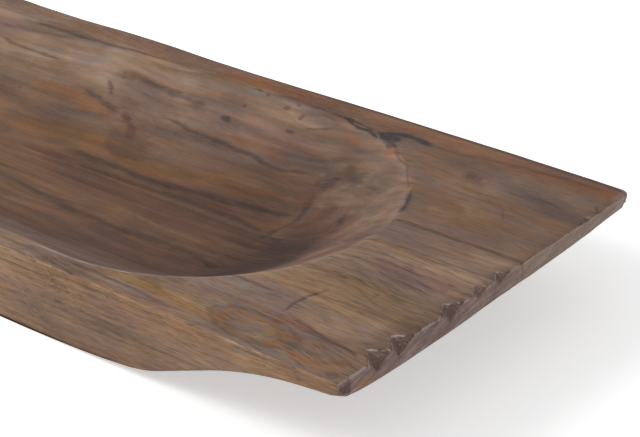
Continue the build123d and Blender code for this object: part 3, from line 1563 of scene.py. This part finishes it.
class GlueTree(FinishTree):
    """The shader tree of the glue."""

    def __init__(self, finish: GlueFinish) -> None:
        """Build the tree.

        Args:
            finish: The glue's colours.
        """
        super().__init__(finish.name)
        graph, inputs = self.graph, self.shader.inputs
        dirt = graph.noise(graph.point(self.x / 8.0, self.y, self.z / 3.0), 3.0)
        graph.feed(inputs["Base Color"], graph.mix(dirt.eased(0.35, 0.7), finish.dark, finish.light))
        graph.feed(inputs["Roughness"], (0.55 + (dirt - 0.5) * 0.4).within(0.35, 0.8))


# Pieces

@dataclass(frozen=True)
class Piece:
    """One board or glue film: its name, the solid it stands for, its slot and its shape."""

    name: str
    node: str
    slot: str
    shape: BoardShape
    finish: Union[WoodFinish, GlueFinish]


class Bowl:
    """The bowl: its pieces, built and dressed."""

    def __init__(self, block: Block) -> None:
        """Keep the block that the pieces are carved from."""
        self.block = block

    def build(self, piece: Piece) -> bpy.types.Object:
        """Carve one piece, dress it and hand it to the frame.

        Args:
            piece: What it is.

        Returns:
            The finished object.
        """
        finish = piece.finish
        tree = GlueTree(finish) if isinstance(finish, GlueFinish) else WoodTree(finish, self.block)
        board = BoardTree(piece.name + ".carving", piece.shape, self.block, finish.cracks,
                          tree.material)
        holder = bpy.data.objects.new(piece.name + ".blank", bpy.data.meshes.new(piece.name))
        bpy.context.collection.objects.link(holder)
        modifier = holder.modifiers.new("Carving", "NODES")
        modifier.node_group = board.tree
        for identifier, value in board.identifiers.items():
            modifier[identifier] = value
        depsgraph = bpy.context.evaluated_depsgraph_get()
        mesh = bpy.data.meshes.new_from_object(holder.evaluated_get(depsgraph))
        holder.modifiers.remove(modifier)
        bpy.data.objects.remove(holder)
        mesh.name = piece.name
        result = bpy.data.objects.new(piece.name, mesh)
        bpy.context.collection.objects.link(result)
        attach(result, "root")
        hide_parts(piece.node)
        return result


def volume(mesh: bpy.types.Mesh) -> float:
    """Give the volume that a closed mesh holds, less than 0 where its faces point inwards."""
    mesh.calc_loop_triangles()
    corners = np.empty(len(mesh.loop_triangles) * 3, dtype=np.int32)
    mesh.loop_triangles.foreach_get("vertices", corners)
    places = np.empty(len(mesh.vertices) * 3)
    mesh.vertices.foreach_get("co", places)
    a, b, c = places.reshape(-1, 3)[corners].reshape(-1, 3, 3).transpose(1, 0, 2)
    return float(np.einsum("ij,ij->", a, np.cross(b, c)) / 6.0)


@dataclass(frozen=True)
class Studio:
    """Floor, light and camera."""

    floor_size: float = 30.0
    floor_tone: float = 0.86
    floor_glow: float = 0.5
    sky: float = 0.5
    camera_place: tuple[float, float, float] = (1.0973, -1.0016, 0.7211)
    azimuth: float = 38.634
    elevation: float = 26.773
    lens: float = 116.87
    lamp_place: tuple[float, float, float] = (-2.0, -1.7, 2.2)
    lamp_size: float = 1.6
    lamp_power: float = 72.0

    def build(self) -> None:
        """Make the floor, the lights, the sky and the camera."""
        self._floor()
        self._sky()
        self._lamp()
        camera = bpy.data.cameras.new("camera")
        camera.lens = self.lens
        camera.sensor_width = 36.0
        camera.clip_end = 100.0
        holder = bpy.data.objects.new("camera", camera)
        holder.location = self.camera_place
        holder.rotation_euler = Euler((math.radians(90.0 - self.elevation), 0.0,
                                       math.radians(self.azimuth)))
        bpy.context.collection.objects.link(holder)
        bpy.context.scene.camera = holder

    def _floor(self) -> None:
        """Lay the plain pale floor, which shows white where no shadow falls."""
        half = self.floor_size / 2
        mesh = bpy.data.meshes.new("floor")
        mesh.from_pydata([(-half, -half, 0), (half, -half, 0), (half, half, 0), (-half, half, 0)],
                         [], [(0, 1, 2, 3)])
        floor = bpy.data.objects.new("floor", mesh)
        bpy.context.collection.objects.link(floor)
        material = bpy.data.materials.new("floor")
        material.use_nodes = True
        graph = Graph(material.node_tree)
        shader = material.node_tree.nodes["Principled BSDF"]
        seen = self._seen(graph)
        graph.feed(shader.inputs["Base Color"], (self.floor_tone,) * 3 + (1.0,))
        graph.feed(shader.inputs["Roughness"], 0.9)
        graph.feed(shader.inputs["Specular IOR Level"], 0.0)
        graph.feed(shader.inputs["Emission Color"], (1.0, 1.0, 1.0, 1.0))
        graph.feed(shader.inputs["Emission Strength"], seen * self.floor_glow)
        mesh.materials.append(material)

    def _sky(self) -> None:
        """Light the scene evenly, with white behind the object."""
        world = bpy.data.worlds.new("studio")
        bpy.context.scene.world = world
        world.use_nodes = True
        graph = Graph(world.node_tree)
        strength = self._seen(graph) * (1.0 - self.sky) + self.sky
        background = world.node_tree.nodes["Background"]
        graph.feed(background.inputs["Color"], (1.0, 1.0, 1.0, 1.0))
        graph.feed(background.inputs["Strength"], strength)

    @staticmethod
    def _seen(graph: Graph) -> Term:
        """Give 1 for what the camera sees, straight or by reflection or refraction."""
        rays = graph.add("ShaderNodeLightPath")
        return (graph.term(rays, "Is Camera Ray") + graph.term(rays, "Is Glossy Ray")
                + graph.term(rays, "Is Transmission Ray")).most(1.0)

    def _lamp(self) -> None:
        """Hang a soft square lamp that faces the bowl."""
        lamp = bpy.data.lights.new("key", "AREA")
        lamp.shape = "SQUARE"
        lamp.size = self.lamp_size
        lamp.energy = self.lamp_power
        holder = bpy.data.objects.new("key", lamp)
        holder.location = self.lamp_place
        holder.rotation_euler = Vector(self.lamp_place).to_track_quat("Z", "Y").to_euler()
        bpy.context.collection.objects.link(holder)


# The chips of the right end, and the marks of each board

CHIPS = (
    Chip(12.5, -124.5, -137.5, -113, -129, 10.5),
    Chip(10.5, -101, -114.5, -90, -107, 11),
    Chip(9.5, -48, -65, -36, -52, 10),
    Chip(8, -15.5, -29, -9, -21, 6.5),
    Chip(7, 8, -4, 16, 3, 5.5),
    Chip(5, 112, 99, 118, 107, 2.4),
)

FRONT_STREAKS = (
    # The long open crack on the floor, and the bands beside it
    Streak(Tint.DARK, ((48, -23), (65, -26), (98, -26), (130, -27), (159, -25), (186, -24),
                       (203, -24), (217, -26), (232, -24), (248, -16)), 3.6, 1.1, 0.9, fade=0.15),
    # Painted shade beside the crack, where the floor turns up into the front wall
    Streak(Tint.BROWN, ((100, -32), (165, -35), (215, -32), (245, -27)), 8, 1),
    Streak(Tint.TAN, ((-80, -12), (-20, -6), (21, -9), (61, -14), (95, -15)), 6, 0.9),
    # Painted shade in the crease at the foot of the hollow's end
    Streak(Tint.BROWN, ((-58, 235), (-38, 243), (-16, 246), (0, 240)), 7, 1, across=True),
    Streak(Tint.BROWN, ((150, -17), (200, -13), (245, -8)), 5, 0.8),
    # Along the front rim
    Streak(Tint.DARK, ((196, -156), (219, -155.5), (256, -156), (293, -159), (313, -162)),
           1.6, 0.75),
    Streak(Tint.BROWN, ((120, -158), (170, -158.5), (230, -161), (280, -163)), 1.5, 0.7),
    Streak(Tint.OCHRE, ((205, -150), (256, -147), (300, -149), (350, -153)), 6, 0.8),
    # The figure on the deck by the near corner
    Streak(Tint.BROWN, ((295, -127), (330, -124.5), (365, -126), (395, -129), (420, -131),
                        (445, -130)), 1.7, 0.75),
    Streak(Tint.DARK, ((-122, 360.5), (-113, 361.6), (-103, 361), (-90, 363), (-76, 367.5)),
           1.6, 1, 0.5, across=True),
    Streak(Tint.DARK, ((366, -120), (377, -122.5), (397, -127), (408, -129), (421, -131),
                       (438, -133.5)), 2, 0.8, fade=0.15),
    Streak(Tint.GREY, ((-150, 402), (-147, 391), (-142, 384), (-133, 376), (-127, 374)),
           3.4, 1.3, across=True, fade=0.2),
    Streak(Tint.GREY, ((393, -149), (404, -151.5), (412, -149.5), (420, -143)), 2.6, 1.3, fade=0.2),
    Streak(Tint.ORANGE, ((-156, 398), (-152, 390), (-145, 379.5), (-136, 370), (-126, 365)),
           3.2, 1, across=True, fade=0.15),
    Streak(Tint.ORANGE, ((390, -153.5), (404, -157), (416, -156), (428, -148), (440, -143)),
           3, 1, fade=0.2),
    Streak(Tint.RUST, ((383, -136), (392, -139.5), (402, -139.5), (413, -136)), 2.4, 1.2, fade=0.2),
    Streak(Tint.OCHRE, ((-160, 390), (-150, 377), (-140, 364), (-132, 355)),
           3, 1, across=True, fade=0.2),
    # Fine lines of the deck
    Streak(Tint.DARK, ((-76, 396), (-62, 395)), 1.2, 0.7, across=True),
    Streak(Tint.DARK, ((300, -103), (328, -101.5), (345, -103.5)), 1.6, 0.6),
    Streak(Tint.BROWN, ((330, -87), (360, -88), (400, -86), (440, -89)), 1.3, 0.8),
    Streak(Tint.BROWN, ((345, -56), (380, -55), (430, -58)), 1.3, 0.8),
    Streak(Tint.BROWN, ((355, -24), (390, -26), (440, -25)), 1.4, 0.8),
)

FRONT_STAINS = (
    # In the hollow
    # A small hole in the floor, painted dark as the shade inside it
    Stain(Tint.HOLE_SHADE, 220, -30, 4.6, 2.8, 0, 1.3, 0.6, 0.9),
    Stain(Tint.DARK, 70, -25, 19, 3.6, -4, 0.7, 1.2),
    # Partly a maroon stain, partly painted shade on the shaded side of the hollow's end
    Stain(Tint.MAROON, 262, -28, 34, 34, 0, 0.75, 1),
    Stain(Tint.MAROON, 318, -26, 26, 15, 40, 0.8, 0.9, 0.9),
    Stain(Tint.GREY, 8, -72, 26, 12, 0, 0.9, 1),
    Stain(Tint.OCHRE, 62, -78, 42, 12, 0, 1, 1),
    Stain(Tint.GREY, 130, -70, 60, 20, 0, 0.7, 1.2),
    # The figure on the rim, and the dark square by the near corner
    Stain(Tint.GREY, 266, -157, 20, 3.6, -6, 0.9, 0.8),
    Stain(Tint.GREY, 322, -143, 15, 7, 8, 0.9, 0.8),
    Stain(Tint.GREY, 361, -147, 22, 8, -3, 1, 0.6),
    Stain(Tint.ORANGE, 361, -147, 27, 11, -3, 1.3, 0.30, 0.6, True),
    Stain(Tint.OCHRE, 362, -146, 14, 5, -3, 1.3, 0.35, 0.6, True),
    Stain(Tint.BROWN, 360, -146, 35, 15.5, -3, 1.2, 0.16, 0.5, True),
    Stain(Tint.OCHRE, 300, -147, 26, 7, 2, 0.8, 0.3, 0.6, True),
    Stain(Tint.BROWN, 250, -158, 60, 6, 2, 0.6, 0.3, 0.6, True),
    Stain(Tint.RUST, 378, -126, 12, 6, 0, 0.5, 0.9),
    Stain(Tint.DARK, 435, -161.5, 5.5, 3.6, 0, 0.75, 0.5, 0.3),
    # Broad tints of the deck, and painted shade at its end
    Stain(Tint.OCHRE, 385, -75, 50, 26, 0, 0.45, 1.2),
    Stain(Tint.GREY, 320, -110, 30, 12, 12, 0.8, 1),
    Stain(Tint.GREY, 355, -100, 12, 20, 0, 0.5, 1),
    Stain(Tint.MAUVE, 400, -30, 30, 14, 0, 0.9, 1),
    Stain(Tint.DARK, 437, -100, 12, 34, 0, 0.55, 1.2, 0.9),
    Stain(Tint.DARK, 440, -45, 9, 18, 0, 0.5, 1.2, 0.9),
)

STAVE_STREAKS = (
    Streak(Tint.DARK, ((190, 35), (212, 33), (232, 29), (246, 24)), 3, 1.2, fade=0.3),
    Streak(Tint.BROWN, ((-60, 27), (40, 26), (160, 27), (244, 26)), 4, 0.8),
    # Painted shade in the crease at the foot of the hollow's end
    Streak(Tint.DARK, ((22, 221), (34, 224), (44, 228)), 3.4, 1, across=True),
    Streak(Tint.BROWN, ((-4, 238), (12, 240), (28, 234), (44, 228)), 7, 1, across=True),
    Streak(Tint.BROWN, ((150, 9), (200, 11), (250, 14)), 3, 0.8),
    Streak(Tint.BROWN, ((345, -1.6), (400, -1.2), (445, -1.4)), 1.5, 0.8),
    Streak(Tint.DARK, ((335, 29.6), (400, 29.8), (448, 29.8)), 1.5, 1.3, fade=0.08),
    Streak(Tint.BROWN, ((350, 12), (400, 11), (440, 12.5)), 1.2, 0.8),
)

STAVE_STAINS = (
    Stain(Tint.DARK, 214, 11, 15, 4.5, 0, 0.6, 1),
    # Partly a maroon stain, partly painted shade on the shaded side of the hollow's end
    Stain(Tint.MAROON, 268, 12, 22, 26, 0, 0.7, 1),
    Stain(Tint.DARK, 300, 8, 17, 10, 60, 0.55, 1, 0.9),
    Stain(Tint.MAROON, 322, -4, 20, 12, 50, 0.8, 0.9, 0.9),
    Stain(Tint.MAUVE, 120, 14, 110, 12, 0, 0.8, 1),
    # Painted shade on the deck by the end
    Stain(Tint.DARK, 441, 5, 7, 14, 0, 0.45, 1.2, 0.9),
)

BACK_STREAKS = (
    # Along the floor and up the end of the hollow
    Streak(Tint.DARK, ((-3, 43.5), (37, 46.5), (61, 45.5), (94, 44.5), (122, 47), (160, 50),
                       (196, 54), (215, 55), (234, 57)), 2.7, 1.15, 0.9, fade=0.10),
    Streak(Tint.DARK, ((20, 32), (53, 33), (95, 35), (135, 36.4), (164, 36.8), (194, 36),
                       (215, 33), (232, 29)), 2.6, 1.5, fade=0.12),
    Streak(Tint.BROWN, ((40, 38), (130, 41), (200, 44), (240, 44)), 5, 0.5),
    # Painted shade in the crease at the foot of the hollow's end
    Streak(Tint.DARK, ((22, 221), (34, 224), (44, 228), (53, 233), (64, 232), (74, 231)),
           2.8, 1.1, across=True),
    Streak(Tint.BROWN, ((56, 233), (71, 231), (82, 229), (100, 229)), 5, 1, across=True),
    # The crack on the back wall, and the lines of the wall and the rim
    Streak(Tint.DARK, ((43, 101), (73, 97), (102, 94), (138, 93.5), (155, 92.5), (172, 89),
                       (180, 88), (204, 91.5), (224, 93)), 1.9, 1.1, 0.7),
    Streak(Tint.DARK, ((-14, 120), (10, 120), (38, 119), (59, 117.5), (76, 116), (96, 115)),
           4.2, 0.8, fade=0.12),
    Streak(Tint.DARK, ((-156, 119), (-126, 116), (-108, 115.3), (-84, 115), (-66, 115)), 1.5, 1),
    Streak(Tint.DARK, ((-150, 137), (-109, 139), (-77, 139.3), (-43, 140), (-5, 142), (40, 145)),
           1.5, 0.9),
    Streak(Tint.BROWN, ((-170, 126), (-134, 130), (-112, 132), (-90, 134), (-66, 138)), 1.6, 1.1),
    Streak(Tint.DARK, ((-32, 99.5), (-18, 97), (-9, 95.5), (0, 93), (11, 90), (23, 89)),
           2.2, 1.2, fade=0.25),
    Streak(Tint.DARK, ((99, 3), (107, -6), (114, -13)), 2.6, 0.9, across=True),
    Streak(Tint.MAROON, ((70, 46), (81, 41), (86, 32), (92, 22)), 4.6, 1.5, across=True),
    Streak(Tint.MAROON, ((138, 145), (160, 146.2), (179, 145), (197, 143.3), (210, 141.5)),
           1.9, 1.2, fade=0.15),
    Streak(Tint.DARK, ((181, 124.5), (195, 128), (207, 131.5)), 1.4, 0.7),
    Streak(Tint.ORANGE, ((60, 151), (93, 152.5), (123, 153.5), (153, 154.5), (182, 156),
                         (230, 158)), 6, 0.8),
    # On the deck and its lip
    Streak(Tint.DARK, ((378, 115), (393, 117), (406, 116), (419, 114), (434, 113)),
           3, 0.6, fade=0.3),
    Streak(Tint.DARK, ((25, 285), (40, 280.5), (60, 275)), 3.4, 0.6, across=True),
    Streak(Tint.DARK, ((124, 445), (133, 436)), 1.6, 1, across=True),
    # Ink and dark lines of the rim, the lip and the deck
    Streak(Tint.INK, ((204, 144.5), (213, 141.5), (225, 138), (240, 134), (250, 131)),
           1.7, 1.1, fade=0.1),
    Streak(Tint.INK, ((206, 146), (213, 144), (240, 137)), 1, 0.9),
    Streak(Tint.INK, ((244, 137), (254, 142), (262, 145), (271, 146), (280, 144.5), (292, 142)),
           3, 1.4, fade=0.12),
    Streak(Tint.MAROON, ((74, 316), (89, 307), (99, 299), (108, 289), (115, 280), (126, 266)),
           2, 1.2, across=True, fade=0.08),
    Streak(Tint.INK, ((38, 336), (46, 334), (58, 329), (74, 321)), 3, 1, across=True),
    Streak(Tint.BROWN, ((278, 143), (305, 143), (329, 147), (376, 154), (430, 156)),
           1.9, 1.3, fade=0.06),
    Streak(Tint.BROWN, ((340, 92), (365, 90.5), (385, 92)), 1.4, 0.9),
    Streak(Tint.BROWN, ((332, 98), (360, 99), (382, 97.5)), 1.4, 0.9),
    Streak(Tint.BROWN, ((72, 399), (86, 390), (100, 372)), 1.2, 0.9, across=True),
    Streak(Tint.DARK, ((338, 30.6), (400, 31.2), (448, 31)), 1.1, 1.1, fade=0.08),
)

BACK_STAINS = (
    # The oval figure, and the tints of the floor and the wall
    Stain(Tint.BROWN, 46, 69, 23, 15, -14, 0.7, 0.3, 0.8),
    Stain(Tint.OLIVE, 52, 63, 22, 9, -6, 0.8, 0.7),
    Stain(Tint.ORANGE, -34, 88.5, 50, 6.5, -4, 0.95, 0.8),
    Stain(Tint.ORANGE, -4, 85.5, 14, 5, -5, 0.8, 0.8, 1.4),
    Stain(Tint.OCHRE, -16, 59, 44, 7, 5, 1.3, 0.9),
    Stain(Tint.BROWN, 22, 97, 10, 3.4, -8, 0.8, 0.9),
    Stain(Tint.DARK, 28, 88, 5.5, 3.6, -30, 0.6, 0.9),
    Stain(Tint.OCHRE, 95, 57, 44, 8, 6, 0.8, 1),
    Stain(Tint.PALE, 30, 135, 60, 6, 0, 0.36, 0.8),
    Stain(Tint.PALE, -45, 119, 30, 9, -5, 0.72, 0.8, 1.2),
    Stain(Tint.GREY, -30, 118, 24, 9, -5, 1, 0.8, 1),
    Stain(Tint.DARK, -92, 139.3, 14, 1.4, 2, 0.8, 0.8, 0.8),
    Stain(Tint.DARK, 66, 118, 12, 2.6, -3, 0.6, 0.9),
    Stain(Tint.DARK, 167, 90.5, 8, 1.8, -22, 0.9, 0.9),
    Stain(Tint.DARK, -87, 82, 2.5, 1.3, 0, 0.7, 0.8),
    Stain(Tint.OCHRE, 112, 60, 36, 5, 9, 1.3, 0.9),
    Stain(Tint.OLIVE, 106, 57, 26, 4, 8, 0.8, 0.9),
    Stain(Tint.ORANGE, 182, 66, 28, 4.5, 10, 0.85, 0.9),
    Stain(Tint.ORANGE, 226, 72, 12, 7, 0, 0.5, 1),
    Stain(Tint.OLIVE, 3, 49, 26, 4, 0, 0.8, 0.9),
    Stain(Tint.MAROON, -8, 33, 26, 5, -4, 0.9, 0.9),
    Stain(Tint.RUST, 178, 96.5, 14, 3.4, -14, 0.9, 0.8),
    Stain(Tint.RUST, 150, 99, 24, 3, -3, 0.6, 0.9),
    Stain(Tint.PALE, 224, 93, 4, 1.4, 10, 0.8, 0.6),
    # The dark smudge on the wall
    Stain(Tint.DARK, 247, 99, 11, 4.6, -30, 0.75, 1.2, 1.9),
    Stain(Tint.DARK, 258, 92.5, 7, 6.4, -20, 0.85, 1, 1.9),
    Stain(Tint.BROWN, 244, 95, 12, 4.6, -10, 1, 1.2, 1.6),
    Stain(Tint.DARK, 236.5, 87.5, 5.4, 5.4, -40, 1, 0.9, 1.9),
    Stain(Tint.BROWN, 230, 82, 9, 4, -50, 0.9, 1.2, 1.6),
    Stain(Tint.PALE, 249, 83, 6, 2.6, 30, 0.55, 0.9, 1),
    # The end of the hollow
    Stain(Tint.RUST, 275, 56, 3.4, 12, 40, 0.7, 0.8),
    Stain(Tint.MAROON, 250, 46, 16, 18, -20, 0.6, 1),
    Stain(Tint.MAROON, 284, 40, 14, 12, -20, 0.7, 1),
    # Ink at the rim, and rust below it
    Stain(Tint.INK, 255, 136, 12, 5.6, -8, 1, 0.5, 1.4),
    Stain(Tint.INK, 262, 127.5, 8, 4.4, -35, 0.8, 0.8, 1.4),
    Stain(Tint.RUST, 268, 119.5, 8, 4, -45, 1, 0.8),
    Stain(Tint.ORANGE, 231, 124, 14, 4, -30, 0.6, 0.9),
    Stain(Tint.PALE, 330, 42, 7, 2.6, -60, 0.5, 0.7, 1),
    # The worn pale patch on the rim, and its specks
    Stain(Tint.PALE, 178, 134.5, 25, 6.6, -9, 0.85, 0.35, 1.2),
    Stain(Tint.GREY, 180, 134, 27, 7.4, -9, 1, 0.5, 1.2),
    Stain(Tint.GREY, 134, 137, 26, 5, -4, 0.9, 0.8),
    Stain(Tint.DARK, 156, 136, 3, 2, 0, 0.9, 0.8),
    Stain(Tint.DARK, 164, 141, 2.4, 1.6, 0, 0.8, 0.8),
    Stain(Tint.DARK, 173, 132, 2, 2.4, 0, 0.8, 0.8),
    Stain(Tint.DARK, 122, 143, 4, 1.4, -10, 0.9, 0.8),
    Stain(Tint.DARK, 132, 141, 2.6, 1.4, -10, 0.8, 0.8),
    Stain(Tint.DARK, 120, 127, 2, 1.8, 0, 0.7, 0.8),
    # Below the patch
    Stain(Tint.DARK, 172, 118.5, 4, 1.7, 0, 0.9, 0.7),
    Stain(Tint.INK, 112, 112, 5.5, 2.2, -4, 0.75, 0.8, 0.8),
    Stain(Tint.OLIVE, 118, 112, 12, 3.8, -4, 1, 0.6, 0.8),
    Stain(Tint.MAUVE, 150, 108, 60, 12, 0, 0.9, 1),
    # The deck, with its knot
    Stain(Tint.DARK, 404, 114, 24, 4, 0, 0.5, 1.2, 1.9),
    Stain(Tint.DARK, 424, 108, 18, 11, -20, 0.45, 1.2, 1.6),
    Stain(Tint.MAROON, 344, 117, 9, 5, -30, 0.9, 1, 1.6),
    Stain(Tint.DARK, 343, 117.5, 5, 3, -30, 0.5, 1, 1.6),
    Stain(Tint.DARK, 344, 117, 6.5, 4, -30, 0.35, 0.4, 1.8, True),
    Stain(Tint.ORANGE, 352, 72, 22, 11, -6, 0.45, 1.1),
    Stain(Tint.OCHRE, 378, 58, 30, 9, 0, 0.6, 1.1),
    Stain(Tint.PALE, 371, 72, 4, 2.2, -30, 0.5, 0.6),
    Stain(Tint.GREY, 385, 124, 40, 18, 0, 0.7, 1.2),
    Stain(Tint.RUST, 345, 152, 40, 6, 0, 0.5, 1.2),
    Stain(Tint.ORANGE, 428, 158, 18, 6, 0, 0.5, 1),
)

FRONT_GRAIN = Grain(
    pith_y=-151, pith_z=16, spacing=7, dip=0.035, waver=12, ripple=3.4, rings=0.32, fibre=0.46,
    flecks=0.36, seed=3, stretch=1, knots=(
        Knot(355, -149, 32, 14, 2.8), Knot(415, -138, 30, 8, 1.4), Knot(300, -142, 30, 9, 1.8)))
STAVE_GRAIN = Grain(
    pith_y=-60, pith_z=-30, spacing=4.4, dip=0.01, waver=5, ripple=1.6, rings=0.18, fibre=0.40,
    flecks=0.24, seed=17, stretch=1)
BACK_GRAIN = Grain(
    pith_y=122, pith_z=-70, spacing=8.5, dip=0.06, waver=9, ripple=4, rings=0.18, fibre=0.46,
    flecks=0.26, seed=41, stretch=0.7, knots=(
        Knot(347, 117, 10, 6, 1.8), Knot(40, 84, 30, 12, 3), Knot(250, 82, 14, 16, 1.5)))

# Where across the bowl the seams are, and how thick the glue in them is
SEAM_FRONT, SEAM_BACK, GLUE = -2.0, 30.0, 0.3


def film(seam: float) -> BoardShape:
    """Give the shape of the glue film at a seam, set back a little from the boards' faces."""
    return BoardShape(seam - GLUE / 2, seam + GLUE / 2, Wall.SEAM, Wall.SEAM, low_edge=0.01,
                      high_edge=0.01, columns=(Band(seam, 1),), recess=0.25)


def pieces() -> list[Piece]:
    """List the bowl's pieces.

    Returns:
        The boards and glue films from front to back.
    """
    half_width = Carving.width / 2
    front = BoardShape(
        -half_width, SEAM_FRONT - GLUE / 2, Wall.OUTER, Wall.SEAM, low_edge=1.5, high_edge=0.2,
        columns=(Band(-163.0, 6), Band(-155.0, 5), Band(-146.0, 9), Band(-33.0, 56),
                 Band(-21.0, 12), Band(-4.0, 8), Band(-3.0, 2)))
    stave = BoardShape(
        SEAM_FRONT + GLUE / 2, SEAM_BACK - GLUE / 2, Wall.SEAM, Wall.SEAM, low_edge=0.2,
        high_edge=0.4, columns=(Band(-1.0, 2), Band(29.0, 17), Band(30.0, 2)))
    back = BoardShape(
        SEAM_BACK + GLUE / 2, half_width, Wall.SEAM, Wall.OUTER, low_edge=0.4, high_edge=1.5,
        columns=(Band(31.0, 2), Band(133.0, 56), Band(149.0, 12), Band(161.0, 7),
                 Band(half_width, 6)))
    front_wood = WoodFinish("front_wood", FRONT_GRAIN, FRONT_STREAKS, FRONT_STAINS)
    stave_wood = WoodFinish("stave_wood", STAVE_GRAIN, STAVE_STREAKS, STAVE_STAINS, tone=0.93)
    back_wood = WoodFinish("back_wood", BACK_GRAIN, BACK_STREAKS, BACK_STAINS, tone=0.93)
    glue = GlueFinish("glue")
    return [
        Piece("board_front", "front_board", "front_wood", front, front_wood),
        Piece("stave_middle", "middle_stave", "stave_wood", stave, stave_wood),
        Piece("board_back", "back_board", "back_wood", back, back_wood),
        Piece("glue_front", "glue_line_front", "glue", film(SEAM_FRONT), glue),
        Piece("glue_back", "glue_line_back", "glue", film(SEAM_BACK), glue),
    ]


def main() -> None:
    """Build the studio and the bowl, and report each piece."""
    logging.basicConfig(level=logging.INFO, format="%(name)s: %(message)s")
    scene = bpy.context.scene
    scene.view_settings.view_transform = "Standard"
    Studio().build()
    bowl = Bowl(Block(Carving(), Wear(), Mesh(), CHIPS))
    for piece in pieces():
        built = bowl.build(piece)
        LOG.info("%s: %d points, %.1f cm3", built.name, len(built.data.vertices),
                 volume(built.data) * CM3_PER_M3)


if __name__ == "__main__":
    main()
